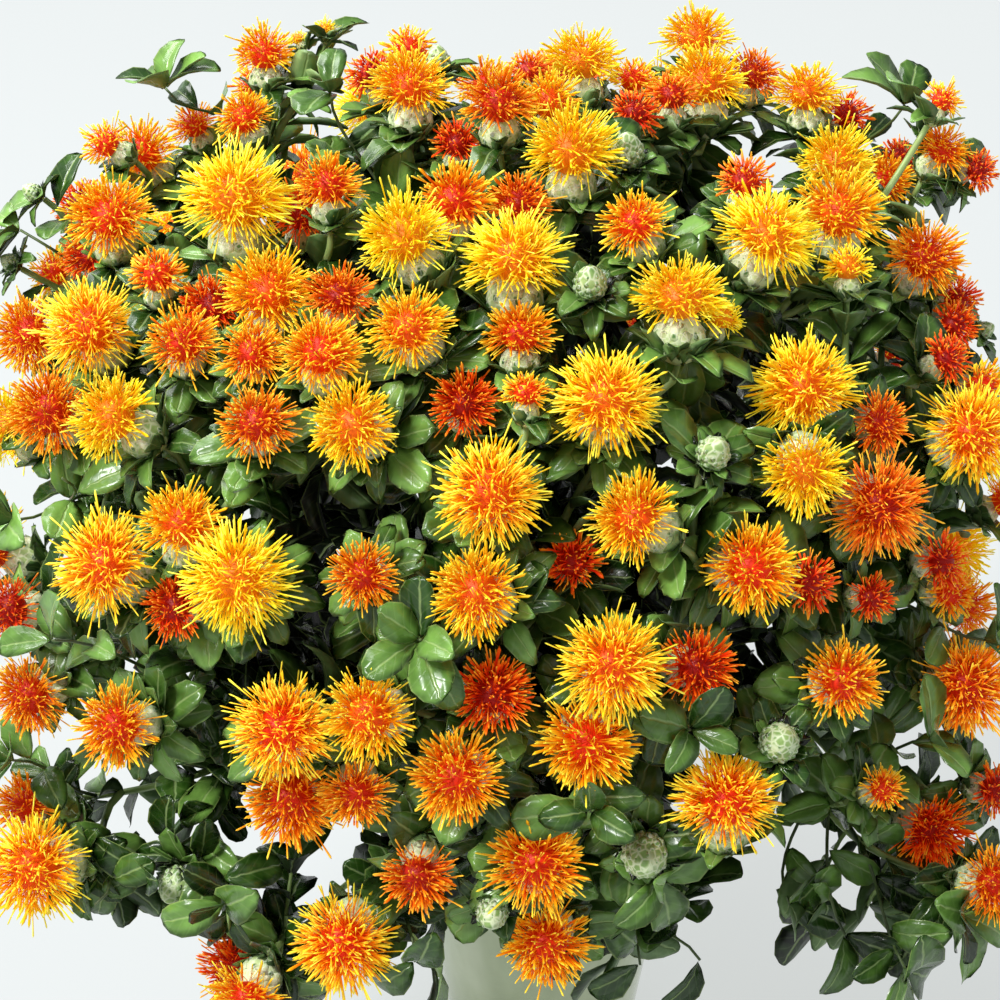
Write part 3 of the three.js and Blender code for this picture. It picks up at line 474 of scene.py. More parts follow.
def lying(at, along, upper, size):
    """The place of a leaf that grows from a point along a direction, with its upper side turned one way."""
    y = Vector(along).normalized()
    x = y.cross(Vector(upper)).normalized()
    turned = Matrix((x, y, x.cross(y))).transposed().to_4x4()
    return Matrix.Translation(Vector(at)) @ turned @ Matrix.Scale(size, 4)


def spun(profile, steps, name):
    """A turned shape from the radii and heights of its outline. It is closed if that ends on the axis."""
    bm = bmesh.new()
    verts = [bm.verts.new((radius, 0, height)) for radius, height in profile]
    edges = [bm.edges.new(pair) for pair in zip(verts, verts[1:])]
    bmesh.ops.spin(
        bm, geom=verts + edges, cent=(0, 0, 0), axis=(0, 0, 1), angle=math.tau, steps=steps, use_merge=True,
    )
    bmesh.ops.remove_doubles(bm, verts=bm.verts, dist=1e-6)
    return finished(bm, name)


def pushed_out(bm, cap):
    """Extrudes a cap and gives the new one."""
    grown = bmesh.ops.extrude_face_region(bm, geom=cap)["geom"]
    return [part for part in grown if isinstance(part, bmesh.types.BMFace)]


# Flower tufts. Short florets crowd in a dome over the globe's mouth, and longer styles stick out of them. A
# tuft's radius is one unit. The cap is how far down the dome they grow, in degrees from its top. Root and
# reach are their two ends' distances from its middle, and cross is how far they lean over their neighbours.
# A strand's bend is its shift to one side at its widest place, and colour its place in the range of colours
# at its root and at its tip.

STRAND_MM = 0.32
# Roots lie back by this share of how far their tips lean over
LIE_BACK = 0.6
TUFT_SIZES = [10.5, 14, 17, 20]
DOME_MIDDLE = Vector((0, 0, -0.2))
FLORETS = {
    "per_mm2": 1.18, "cap": 107, "root": 0.4, "reach": (0.76, 1.0), "cross": 0.26,
    "usual_length": 0.48, "widest": 0.91, "bends": (-0.1, 0.06, 0.14), "tip": 0.95, "colour": (0.05, 0.82),
}
STYLES = {
    "per_mm2": 0.6, "cap": 118, "root": 0.45, "reach": (0.9, 1.2), "cross": 0.2,
    "usual_length": 0.8, "widest": 0.95, "bends": (-0.08, 0.06, 0.12), "tip": 1.1, "colour": (0.36, 1),
}
LONG_STYLES = {"share": 0.09, "reach": (1.2, 1.45)}
# The heart has the florets' dark root colour, which is partly painted shade in the tuft's middle
HEART = {"radius": 0.52, "colour": 0.1}


def strand_shape(kind, bend, thick):
    """A three-sided strand one unit long up z, closed to a point at both ends."""
    bm = bmesh.new()
    along = bm.verts.layers.float.new("along")
    bmesh.ops.create_circle(bm, cap_ends=True, segments=3, radius=1)
    cap = bm.faces[:]
    root = bm.verts[:]
    first, last = kind["colour"]
    tip = bend * kind["tip"]
    for height, radius, shift in [(kind["widest"], thick, bend), (1, 1, tip)]:
        cap = pushed_out(bm, cap)
        middle = sum((v.co for v in cap[0].verts), Vector()) / 3
        for v in cap[0].verts:
            v.co = Vector((shift, 0, height)) + (v.co - middle).normalized() * radius
            v[along] = first + (last - first) * height
    for v in root:
        v[along] = first
    bmesh.ops.pointmerge(bm, verts=root, merge_co=(0, 0, 0))
    bmesh.ops.pointmerge(bm, verts=cap[0].verts[:], merge_co=(tip, 0, 1))
    return finished(bm, "strand")


def heart_shape():
    """The middle of a tuft, where the florets crowd, in their dark root colour, which is partly painted
    shade.
    """
    bm = bmesh.new()
    along = bm.verts.layers.float.new("along")
    bmesh.ops.create_icosphere(bm, subdivisions=2, radius=HEART["radius"])
    for v in bm.verts:
        v[along] = HEART["colour"]
    return finished(bm, "heart")


def set_strands(tuft, kind, radius, luck):
    """Sets strands into a tuft, evenly spread from its top to its cap."""
    strands = [strand_shape(kind, bend, STRAND_MM / radius / kind["usual_length"]) for bend in kind["bends"]]
    count = round(kind["per_mm2"] * radius * radius)
    lowest = math.cos(math.radians(kind["cap"]))
    for i in range(count):
        height = 1 - (i + 0.5) / count * (1 - lowest) + luck.uniform(-0.04, 0.04)
        height = max(lowest, min(1, height))
        ring = math.sqrt(1 - height * height)
        turn = i * GOLDEN_ANGLE + luck.uniform(-0.2, 0.2)
        out = Vector((ring * math.cos(turn), ring * math.sin(turn), height))
        lean = Vector([luck.uniform(-1, 1) for _ in range(3)]) * kind["cross"]
        reach = luck.uniform(*kind["reach"])
        if kind is STYLES and luck.random() < LONG_STYLES["share"]:
            reach = luck.uniform(*LONG_STYLES["reach"])
        root = out * kind["root"] - lean * LIE_BACK + DOME_MIDDLE
        way = out * reach + lean + DOME_MIDDLE - root
        place = standing(root, way, way.length, luck.uniform(0, math.tau))
        tuft.set_in(luck.choice(strands), place, luck.random())


def tuft_shape(radius, seed):
    """A tuft for heads about as large as radius in mm."""
    luck = random.Random(seed)
    tuft = Piece("tint")
    tuft.set_in(HEART_SHAPE, Matrix.Translation(DOME_MIDDLE))
    for kind in (FLORETS, STYLES):
        set_strands(tuft, kind, radius, luck)
    return tuft.shape("tuft")


HEART_SHAPE = heart_shape()
TUFTS = {
    size: [tuft_shape(size, round(SEEDS["tufts"] * size) + i) for i in range(3)] for size in TUFT_SIZES
}


# Heads' green parts

GLOBE_OUTLINE = [
    (0, -1.62), (0.13, -1.6), (0.38, -1.47), (0.53, -1.25), (0.585, -1.03), (0.54, -0.82), (0.41, -0.63),
    (0.31, -0.52), (0.27, -0.44), (0, -0.46),
]
BUD_OUTLINE = [
    (0, -1.25), (0.2, -1.2), (0.52, -1), (0.76, -0.62), (0.84, -0.2), (0.77, 0.2), (0.6, 0.52), (0.38, 0.78),
    (0.16, 0.94), (0, 1),
]
GLOBE_SHAPE = spun(GLOBE_OUTLINE, 12, "globe")
BUD_SHAPE = spun(BUD_OUTLINE, 16, "bud")


def leaf_shape(width, widest, fold, droop, curl, segments, seed):
    """A leaf one unit long, closed like a lens, with the first material above and the second below.

    Its rim lifts by fold and waves a little, its tip sinks by droop, and its middle rises by curl.
    """
    luck = random.Random(seed)
    bm = bmesh.new()
    bm.loops.layers.uv.new("leaf")
    bmesh.ops.create_grid(bm, x_segments=segments[0], y_segments=segments[1], size=0.5, calc_uvs=True)
    bend = math.log(0.5) / math.log(widest)
    phase = luck.uniform(0, math.tau)
    lean = luck.uniform(-0.05, 0.05)
    for v in bm.verts:
        side = v.co.x * 2
        step = v.co.y + 0.5
        # Rows crowd towards both ends, which are the roundest
        along = 0.15 * step + 0.425 * (1 - math.cos(math.pi * step))
        half = width / 2 * max(math.sin(math.pi * along ** bend), 0) ** 0.56 + 0.012 + 0.05 * along ** 8
        edge = abs(side) ** 1.5
        wave = 0.02 * math.sin(phase + along * 11) * edge * (1 if side > 0 else -1)
        v.co = (
            side * half + lean * along * along,
            along * (1 - 0.25 * droop * along),
            fold * edge * half - droop * along * along + curl * along * (1 - along) + wave,
        )
    inner = [v for v in bm.verts if not v.is_boundary]
    made = bmesh.ops.duplicate(bm, geom=bm.verts[:] + bm.edges[:] + bm.faces[:])
    under = [part for part in made["geom"] if isinstance(part, bmesh.types.BMFace)]
    bmesh.ops.reverse_faces(bm, faces=under)
    for face in under:
        face.material_index = 1
    lowered = [made["vert_map"][v] for v in inner]
    bmesh.ops.translate(bm, verts=lowered, vec=(0, 0, -0.016))
    bmesh.ops.remove_doubles(bm, verts=bm.verts, dist=1e-5)
    return finished(bm, "leaf")


def leaf_shapes(segments, first_seed, rows):
    """Leaves of a kind, from each one's width, widest place, fold, droop and curl."""
    return [leaf_shape(*row, segments, first_seed + i) for i, row in enumerate(rows)]


LEAVES = leaf_shapes((3, 6), 1, [
    (0.6, 0.58, 0.4, 0.22, 0.3), (0.66, 0.61, 0.3, 0.1, 0.12), (0.54, 0.57, 0.5, 0.3, 0.35),
    (0.6, 0.62, 0.35, 0.02, 0.1), (0.66, 0.57, 0.25, 0.35, 0.45), (0.52, 0.6, 0.45, 0.15, 0.0),
])
COLLAR_LEAVES = leaf_shapes((3, 4), 7, [
    (0.54, 0.56, 0.45, 0.12, 0.25), (0.48, 0.54, 0.5, 0.25, 0.35), (0.6, 0.6, 0.35, 0.0, 0.1),
])
INNER_LEAVES = leaf_shapes((2, 4), 11, [
    (0.62, 0.58, 0.3, 0.2, 0.3), (0.68, 0.6, 0.2, 0.1, 0.1), (0.56, 0.56, 0.4, 0.3, 0.35),
])
BRACT = leaf_shape(0.5, 0.5, 0.25, -0.08, 0.3, (2, 3), 10)


def scale_shape():
    """A low ridged scale one unit long that hugs a head's globe, with a green window round its top."""
    bm = bmesh.new()
    window = bm.verts.layers.float.new("window")
    bmesh.ops.create_cone(bm, cap_ends=True, cap_tris=True, segments=8, radius1=0.42, radius2=0, depth=0.2)
    for v in bm.verts:
        v[window] = 1 if v.co.z > 0 else 0
        x, y = v.co.x, v.co.y / 0.84 + 0.5
        v.co = (x, y, v.co.z - 0.4 * y * y - 0.45 * x * x)
    shape = finished(bm, "scale")
    for face in shape.polygons:
        face.material_index = 1
    return shape


SCALE = scale_shape()


# Leaves keep out of the tufts and out of the photograph's sight of them, and leave it a few openings: the
# place and radius of each in the photograph

OPENINGS = [
    [18, 458, 20], [34, 505, 20], [80, 500, 8], [22, 560, 14], [105, 665, 12], [148, 824, 16],
    [60, 970, 50], [150, 970, 42], [352, 850, 18], [322, 884, 10], [410, 978, 20], [462, 978, 22],
    [640, 980, 24], [700, 170, 6], [300, 130, 10], [222, 130, 8], [900, 560, 16], [985, 560, 24],
    [910, 610, 14], [775, 860, 26], [850, 885, 16], [745, 915, 30], [720, 985, 30], [800, 985, 30],
    [875, 930, 14], [960, 980, 14], [985, 740, 8], [700, 945, 20], [746, 962, 22], [715, 900, 16],
    [820, 835, 18], [10, 165, 40],
    [50, 120, 36], [30, 50, 76], [940, 210, 6], [990, 250, 12], [996, 300, 20],
]

# Shares of a tuft's radius that leaves stay out of: the real ball, and its disc in the photograph, which is
# less wide for a bud. Up to the front share behind a tuft's middle, a leaf still counts as before it.
KEPT_CLEAR = {"ball": 0.86, "disc": 0.86, "front": 0.3, "bud_disc": 0.6}


class Sights:
    """The tufts and globes, and the discs that they show in the photograph."""

    def __init__(self, heads):
        flowering = [head for head in heads if head.kind != "shoot"]
        balls = [(*ball, id(head)) for head in flowering for ball in head.balls()]
        self.centres = np.array([at for at, _, _ in balls])
        self.radii = np.array([radius for _, radius, _ in balls])
        self.owners = np.array([owner for _, _, owner in balls])
        self.openings = np.array(OPENINGS)
        shown = [head for head in flowering if head.line is not None]
        self.ways = np.array([unit(head.place() - VIEWER) for head in shown])
        self.fars = np.array([math.dist(head.place(), VIEWER) for head in shown])
        shares = [KEPT_CLEAR["bud_disc"] if head.kind == "bud" else 1 for head in shown]
        self.widths = np.array([head.radius for head in shown]) * shares

    def inside(self, points, near):
        """True if one of the points lies in a head, other than the one that the leaf grows near."""
        apart = np.linalg.norm(points[:, None] - self.centres[None], axis=2)
        return bool(np.any((apart < self.radii * KEPT_CLEAR["ball"]) & (self.owners != id(near))))

    def hiding(self, points):
        """True if one of the points lies in front of a tuft."""
        ways = points - VIEWER
        fars = np.linalg.norm(ways, axis=1)
        cosines = np.clip((ways / fars[:, None]) @ self.ways.T, -1, 1)
        off = np.sqrt(1 - cosines * cosines) * self.fars[None]
        nearer = fars[:, None] < self.fars[None] + KEPT_CLEAR["front"] * self.widths[None]
        return bool(np.any(nearer & (off < self.widths[None] * KEPT_CLEAR["disc"])))

    def opening(self, points):
        """True if one of the points shows in an opening."""
        ways = points - VIEWER
        scale = VIEW["focal"] / -(ways @ TO_VIEWER)
        spots = np.stack([VIEW["half"] + ways @ VIEW_RIGHT * scale, VIEW["half"] - ways @ VIEW_UP * scale], 1)
        apart = np.linalg.norm(spots[:, None] - self.openings[None, :, :2], axis=2)
        return bool(np.any(apart < self.openings[None, :, 2]))

    def bars(self, points, near=None):
        return self.inside(points, near) or self.hiding(points) or self.opening(points)


def across(axis, turn):
    """A direction square to an axis, turned round it."""
    side = unit(np.cross(axis, UP + np.array([0.013, 0.007, 0])))
    return side * math.cos(turn) + np.cross(axis, side) * math.sin(turn)


# A stem's way is about this much longer than the straight line between its ends. Its tube has rings that far
# apart in mm, with so many sides.
WAY_LENGTH = 1.06
RING_STEP = {"main": 12, "branch": 9}
MAIN_SIDES = 8
BRANCH_SIDES = 5


def run_points(stem, step):
    """Points along a stem's smooth way, about a step apart, with the way's direction there."""
    length = math.dist(stem.way(0), stem.way(1)) * WAY_LENGTH
    count = max(2, round(length / step))
    ts = [i / count for i in range(count + 1)]
    return [(stem.way(t), unit(stem.way(min(1, t + 0.02)) - stem.way(max(0, t - 0.02))), t) for t in ts]


# Leaves: how far apart they sit along each kind of stem and their lengths, in mm, and how far they rise. A
# branch's foot is bare over a share of its length, and no tip hangs lower than the lowest height in mm.
LEAF_STEP = {"main": 4.5, "head": 7, "bud": 7, "shoot": 10}
LEAF_LENGTH = {"main": (32, 46), "branch": (20, 31), "twig": (24, 33)}
LEAF_RISE = (0.15, 0.9)
BARE_FOOT = 0.08
LOWEST_TIP = 8
# From this depth in the crown leaves hardly show, so that fewer faces will do
INNER = 0.26
# Leaves are darker deep in the crown and low down, which is painted shade: the height in mm below which the
# low painted shade starts, over how far it grows, and how strong it is at most
DEEP_SHADE = 1.8
PAINTED_LOW_SHADE = {"from": 260, "over": 150, "most": 1.0}
# Leafy side twigs on each branch, on each main stem, and on each branch at the back. Only below the height
# in mm may they end at the crown's face, less deep than the face's depth.
TWIGS = {
    "branch": 3, "main": 12, "back": 2, "length": (20, 38), "radii": [1.1, 1.0, 0.9, 0.7], "leaves": 7,
    "face_below": 235,
}
FACE_DEPTH = 0.15
COLLAR_COUNTS = [6, 7, 8]
SHOOT_LEAVES = 5


def deepness(point):
    """How deep a point is in the crown: 0 in its outer 12%, and 1 from 57% of the way in."""
    out = (point - CROWN) / CROWN_RADII
    return min(1, max(0, (0.88 - math.sqrt(out @ out)) / 0.45))


class Foliage:
    """A plant's leaves and its stems with their leafy side twigs."""

    def __init__(self, sights):
        self.sights = sights
        self.luck = None
        self.leaves = Piece()
        self.stems = Piece()

    def leaf(self, shapes, at, along, upper, length, near=None):
        """Sets a leaf in, unless it would run into a head, hide a tuft or close an opening."""
        along = unit(along)
        points = np.array([at + along * length * share for share in (0.5, 0.75, 1)])
        if self.sights.bars(points, near) or points[-1][2] < LOWEST_TIP:
            return
        depth = deepness(points[1])
        low = min(1, max(0, (PAINTED_LOW_SHADE["from"] - at[2]) / PAINTED_LOW_SHADE["over"]))
        shape = self.luck.choice(shapes if depth < INNER else INNER_LEAVES)
        # The shade is a random tone, less painted shade for leaves deep in the crown and low down
        shade = self.luck.random() - DEEP_SHADE * depth - PAINTED_LOW_SHADE["most"] * low
        self.leaves.set_in(shape, lying(at * MM, along, upper, length * MM), shade)

    def grow_along(self, stem, kind):
        """Sets leaves turn by turn up a stem, and gives the last one's turn."""
        luck = self.luck
        turn = luck.uniform(0, math.tau)
        for at, way, t in run_points(stem, LEAF_STEP[kind]):
            turn += GOLDEN_ANGLE
            if kind != "main" and t < BARE_FOOT:
                continue
            out = across(way, turn)
            along = out + way * luck.uniform(*LEAF_RISE) + UP * luck.uniform(-0.1, 0.25)
            length = luck.uniform(*LEAF_LENGTH["main" if kind == "main" else "branch"])
            self.leaf(LEAVES, at + out * 1.2, along, unit(way + UP * 0.8 + TO_VIEWER * 0.2), length)
        return turn

    def twig(self, start, along, shapes=LEAVES, face_below=TWIGS["face_below"]):
        """A short leafy twig with no head, which keeps off the crown's face above a height."""
        length = self.luck.uniform(*TWIGS["length"])
        end = start + along * length
        bare = deepness(end) < FACE_DEPTH and end[2] > face_below
        if bare or self.sights.bars(np.array([end, start + along * length * 0.5])):
            return
        points = [start + along * length * i / 3 + UP * 1.2 * i * (3 - i) for i in range(4)]
        self.stems.set_in(stem_shape(points, TWIGS["radii"], BRANCH_SIDES), Matrix.Identity(4), 1)
        turn = self.luck.uniform(0, math.tau)
        for i in range(TWIGS["leaves"]):
            at = start + along * length * (0.3 + 0.11 * i)
            way = across(along, turn + i * GOLDEN_ANGLE) + along * (0.2 + 0.18 * i)
            self.leaf(shapes, at, way, unit(along + UP), self.luck.uniform(*LEAF_LENGTH["twig"]))

    def side_twigs(self, stem, kind):
        luck = self.luck
        for _ in range(TWIGS["main" if kind == "main" else "branch"]):
            start = stem.way(luck.uniform(0.3, 1) if kind == "main" else luck.uniform(0.15, 0.8))
            aside = across(stem.way(1) - stem.way(0), luck.uniform(0, math.tau))
            self.twig(start, unit(aside + UP * luck.uniform(-0.2, 0.6)))

    def fill_back(self, stems):
        """Sets twigs on the sides that the photograph doesn't show, where the heads stand wider apart."""
        luck = self.luck
        for stem in stems:
            for _ in range(TWIGS["back"]):
                start = stem.way(luck.uniform(0.35, 0.85))
                aside = across(stem.way(1) - stem.way(0), luck.uniform(0, math.tau))
                along = unit(aside + stem.head.axis * luck.uniform(0.2, 0.7))
                self.twig(start, along, INNER_LEAVES, math.inf)

    def end_leaves(self, head, turn):
        """The leaves round a shoot's end."""
        for i in range(SHOOT_LEAVES):
            out = across(head.axis, turn + i * GOLDEN_ANGLE)
            length = head.radius * 2.1 * self.luck.uniform(0.85, 1.05) * (1 - 0.06 * i)
            along = out + head.axis * (0.1 + 0.3 * i)
            self.leaf(LEAVES, head.place() + out, along, unit(head.axis + UP * 0.5), length)

    def collar(self, head, turn):
        """The leaves under a head, and the smaller ones that stand up against its globe."""
        luck = self.luck
        count = luck.choice(COLLAR_COUNTS)
        for i in range(count):
            out = across(head.axis, turn + i * math.tau / count + luck.uniform(-0.2, 0.2))
            along = out + head.axis * luck.uniform(-0.15, 0.45)
            length = min(27, 11 + head.radius) * luck.uniform(0.75, 1.05)
            foot = head.foot() + out * head.radius * 0.25 + head.axis * luck.uniform(0, 3)
            self.leaf(COLLAR_LEAVES, foot, along, head.axis, length)
        for i in range(count):
            out = across(head.axis, turn + (i + 0.5) * math.tau / count + luck.uniform(-0.2, 0.2))
            along = out + head.axis * luck.uniform(0.7, 1.6)
            length = (6 + 0.6 * head.radius) * luck.uniform(0.8, 1.15)
            foot = head.foot() + out * head.radius * 0.46 + head.axis * head.radius * 0.22
            self.leaf(COLLAR_LEAVES, foot, along, head.axis - out, length, near=head)


def stem_shape(points, radii, sides):
    """A closed tube along points in mm."""
    bm = bmesh.new()
    first = standing(points[0] * MM, points[1] - points[0], 1)
    bmesh.ops.create_circle(bm, cap_ends=True, segments=sides, radius=radii[0] * MM, matrix=first)
    cap = bm.faces[:]
    for i in range(1, len(points)):
        cap = pushed_out(bm, cap)
        before = points[max(1, i - 1)] - points[max(0, i - 2)]
        after = points[min(len(points) - 1, i + 1)] - points[i - 1]
        swing = Vector(before).rotation_difference(Vector(after)).to_matrix().to_4x4()
        move = Matrix.Translation(Vector(points[i] * MM)) @ swing
        move = move @ Matrix.Scale(radii[i] / radii[i - 1], 4)
        move = move @ Matrix.Translation(-Vector(points[i - 1] * MM))
        bmesh.ops.transform(bm, matrix=move, verts=cap[0].verts[:])
    return finished(bm, "stem")


SHOOT_SLIMNESS = 0.45


def set_stems(piece, plant):
    """Sets a plant's stems into a piece. The shade is 1 for the green branches at the crown's face, and
    less for branches deeper in the crown, which is painted shade.
    """
    for rank, stem in enumerate(plant.stems):
        points = [at for at, _, _ in run_points(stem, RING_STEP["branch" if rank else "main"])]
        if rank == 0:
            points = [stem.knots[0]] + points
        slim = SHOOT_SLIMNESS if rank and stem.head.kind == "shoot" else 1
        radii = spread(stem.radii[0] * slim, stem.radii[-1] * slim, len(points))
        # Branches deep in the crown get a lower number and so the darker colour: painted shade
        young = 0 if rank == 0 or slim < 1 else 1 - deepness(stem.way(0.7))
        sides = BRANCH_SIDES if rank else MAIN_SIDES
        piece.set_in(stem_shape(points, radii, sides), Matrix.Identity(4), young)


def grow_foliage(plant, number, sights):
    """Grows a plant's leaves and twigs up its stems, under its heads and at the back, and sets its stems."""
    foliage = Foliage(sights)
    foliage.luck = random.Random(SEEDS["leaves"] + number)
    for rank, stem in enumerate(plant.stems):
        kind = stem.head.kind if rank else "main"
        turn = foliage.grow_along(stem, kind)
        foliage.side_twigs(stem, kind)
        if kind == "shoot":
            foliage.end_leaves(stem.head, turn)
        elif kind != "main":
            foliage.collar(stem.head, turn)
    foliage.luck = random.Random(SEEDS["back"] + number)
    foliage.fill_back([stem for stem in plant.stems[1:] if stem.head.line is None])
    set_stems(foliage.stems, plant)
    return foliage


# Rows round a head's base: height and distance from the axis in the head's radius, their number, their length
# in that radius, and how far they point outwards for one part upwards. The bracts are leafy, and the scales
# above them lie on the globe.
BRACT_ROWS = {
    "head": [(-1.56, 0.3, 5, 0.8, 1.3), (-1.42, 0.46, 5, 0.6, 0.9)],
    "bud": [(-1.2, 0.35, 6, 1.3, 1.6), (-1.05, 0.62, 6, 0.9, 0.8)],
}
SCALE_ROWS = {
    "head": [(-1.35, 0.47, 7, 0.55, 0.6), (-1.1, 0.57, 7, 0.52, 0.05), (-0.85, 0.54, 7, 0.4, -0.6)],
    "bud": [
        (-1.02, 0.58, 9, 0.66, 0.6), (-0.74, 0.78, 10, 0.64, 0.3), (-0.42, 0.9, 10, 0.64, 0.05),
        (-0.06, 0.91, 9, 0.62, -0.28), (0.28, 0.79, 8, 0.58, -0.6), (0.58, 0.6, 6, 0.52, -1),
    ],
}
# Buds are greener than heads' globes
BUD_SHADE = {"skin": -1, "scales": -1.5}


def set_rows(piece, shape, rows, facing, head, turn, luck):
    """Sets rows of bracts or scales round a head. Their upper sides face outwards (1) or inwards (-1)."""
    shade = BUD_SHADE["scales"] if head.kind == "bud" else 0
    for row, (height, off, count, size, outwards) in enumerate(rows):
        for i in range(count):
            out = across(head.axis, turn + (i + 0.5 * row) * math.tau / count)
            at = head.place() + (head.axis * height + out * off) * head.radius
            length = head.radius * size * luck.uniform(0.9, 1.1)
            place = lying(at * MM, out * outwards + head.axis, head.axis * 0.3 + out * facing, length * MM)
            piece.set_in(shape, place, luck.random() + shade)


def head_pieces(plant, seed):
    """A plant's tufts, its green globes and their bracts."""
    luck = random.Random(seed)
    tufts, globes, bracts = Piece("ripeness"), Piece(), Piece()
    for head in [stem.head for stem in plant.stems[1:]]:
        turn = luck.uniform(0, math.tau)
        place = standing(head.place() * MM, head.axis, head.radius * MM, turn)
        if head.kind == "shoot":
            continue
        if head.kind == "head":
            size = min(TUFT_SIZES, key=lambda size: abs(size - head.radius))
            pressed = place @ Matrix.Diagonal((1, 1, luck.uniform(0.85, 1.05), 1))
            tufts.set_in(luck.choice(TUFTS[size]), pressed, head.ripeness / 10)
            globes.set_in(GLOBE_SHAPE, place, luck.random())
        else:
            globes.set_in(BUD_SHAPE, place, luck.random() + BUD_SHADE["skin"])
        set_rows(bracts, BRACT, BRACT_ROWS[head.kind], -1, head, turn, luck)
        set_rows(globes, SCALE, SCALE_ROWS[head.kind], 1, head, turn + 0.3, luck)
    return tufts, globes, bracts


# Materials

def linear(hex_colour):
    """An sRGB hex colour as the linear colour that nodes take."""
    shares = [int(hex_colour[i:i + 2], 16) / 255 for i in (1, 3, 5)]
    return [s / 12.92 if s <= 0.04045 else ((s + 0.055) / 1.055) ** 2.4 for s in shares] + [1.0]


def new_material(name):
    material = bpy.data.materials.new(name)
    material.use_nodes = True
    return material, material.node_tree, material.node_tree.nodes["Principled BSDF"]


def join(tree, node, inputs):
    """Gives a node's inputs their values or their links."""
    for name, value in inputs.items():
        if isinstance(value, bpy.types.NodeSocket):
            tree.links.new(value, node.inputs[name])
        else:
            node.inputs[name].default_value = value


def add(tree, kind, inputs, stops=(), **settings):
    """Adds a node with its inputs, a ramp's places and colours, and other settings. It gives the outputs."""
    made = tree.nodes.new("ShaderNode" + kind)
    for name, value in settings.items():
        setattr(made, name, value)
    join(tree, made, inputs)
    for i, (position, colour) in enumerate(stops):
        elements = made.color_ramp.elements
        element = elements[i] if i < len(elements) else elements.new(position)
        element.position = position
        element.color = linear(colour)
    return made.outputs


def glazed_stoneware():
    """Thrown stoneware with a glossy sage glaze, paler where it runs thin, faint rings and a sharp shine."""
    material, tree, shader = new_material("glazed_stoneware")
    place = add(tree, "TexCoord", {})["Object"]
    # Drifts of glaze about 30 mm across, stretched down the wall
    down = add(tree, "Mapping", {0: place, "Scale": (1, 1, 0.35)})[0]
    drift = add(tree, "TexNoise", {"Vector": down, "Scale": 1 / 0.03, "Detail": 3.0})["Fac"]
    sage = add(tree, "ValToRGB", {0: drift}, [(0.3, "#8E9A76"), (0.55, "#A3AE8A"), (0.75, "#B4BD9D")])[0]
    # Throwing rings about 7 mm apart. At a scale of 1 they would be 0.314 m apart.
    waves = {"Vector": place, "Scale": 0.314 / 0.007, "Distortion": 1.2, "Detail": 2.0}
    rings = add(tree, "TexWave", waves, bands_direction="Z")["Fac"]
    bump = add(tree, "Bump", {"Strength": 0.12, "Distance": 0.0004, "Height": rings})[0]
    join(tree, shader, {
        "Base Color": sage, "Normal": bump, "Roughness": 0.16, "Coat Weight": 0.4, "Coat Roughness": 0.08,
    })
    return material


def potting_soil():
    """Moist peat and bark: dark brown, dull, in crumbs of 2 to 5 mm."""
    material, tree, shader = new_material("potting_soil")
    place = add(tree, "TexCoord", {})["Object"]
    crumbs = add(tree, "TexVoronoi", {"Vector": place, "Scale": 1 / 0.004})["Distance"]
    grains = add(tree, "TexNoise", {"Vector": place, "Scale": 1 / 0.002, "Detail": 4.0})["Fac"]
    brown = add(tree, "ValToRGB", {0: grains}, [(0.3, "#1B120B"), (0.55, "#34241A"), (0.75, "#574131")])[0]
    bump = add(tree, "Bump", {"Strength": 0.8, "Distance": 0.0015, "Height": crumbs})[0]
    join(tree, shader, {"Base Color": brown, "Normal": bump, "Roughness": 0.95})
    return material


def stem_skin():
    """A fresh stem: pale green and waxy on the branches, duller and woodier low on the main stems.

    Branches deep in the crown take the duller colour too, as painted shade.
    """
    material, tree, shader = new_material("stem_skin")
    place = add(tree, "TexCoord", {})["Object"]
    shade = add(tree, "Attribute", {}, attribute_name="shade")["Fac"]
    # Patches about 12 mm long
    patches = add(tree, "TexNoise", {"Vector": place, "Scale": 1 / 0.012, "Detail": 3.0})["Fac"]
    young = add(tree, "ValToRGB", {0: patches}, [(0.3, "#7E9C52"), (0.6, "#9DB66E"), (0.8, "#B9CC8C")])[0]
    # The duller colour serves the main stems and the painted shade on branches deep in the crown
    old = add(tree, "ValToRGB", {0: patches}, [(0.3, "#3C4A28"), (0.6, "#566A3A"), (0.8, "#74864E")])[0]
    green = add(tree, "Mix", {0: shade, 6: old, 7: young}, data_type="RGBA")[2]
    bump = add(tree, "Bump", {"Strength": 0.3, "Distance": 0.0003, "Height": patches})[0]
    join(tree, shader, {"Base Color": green, "Normal": bump, "Roughness": 0.45})
    return material


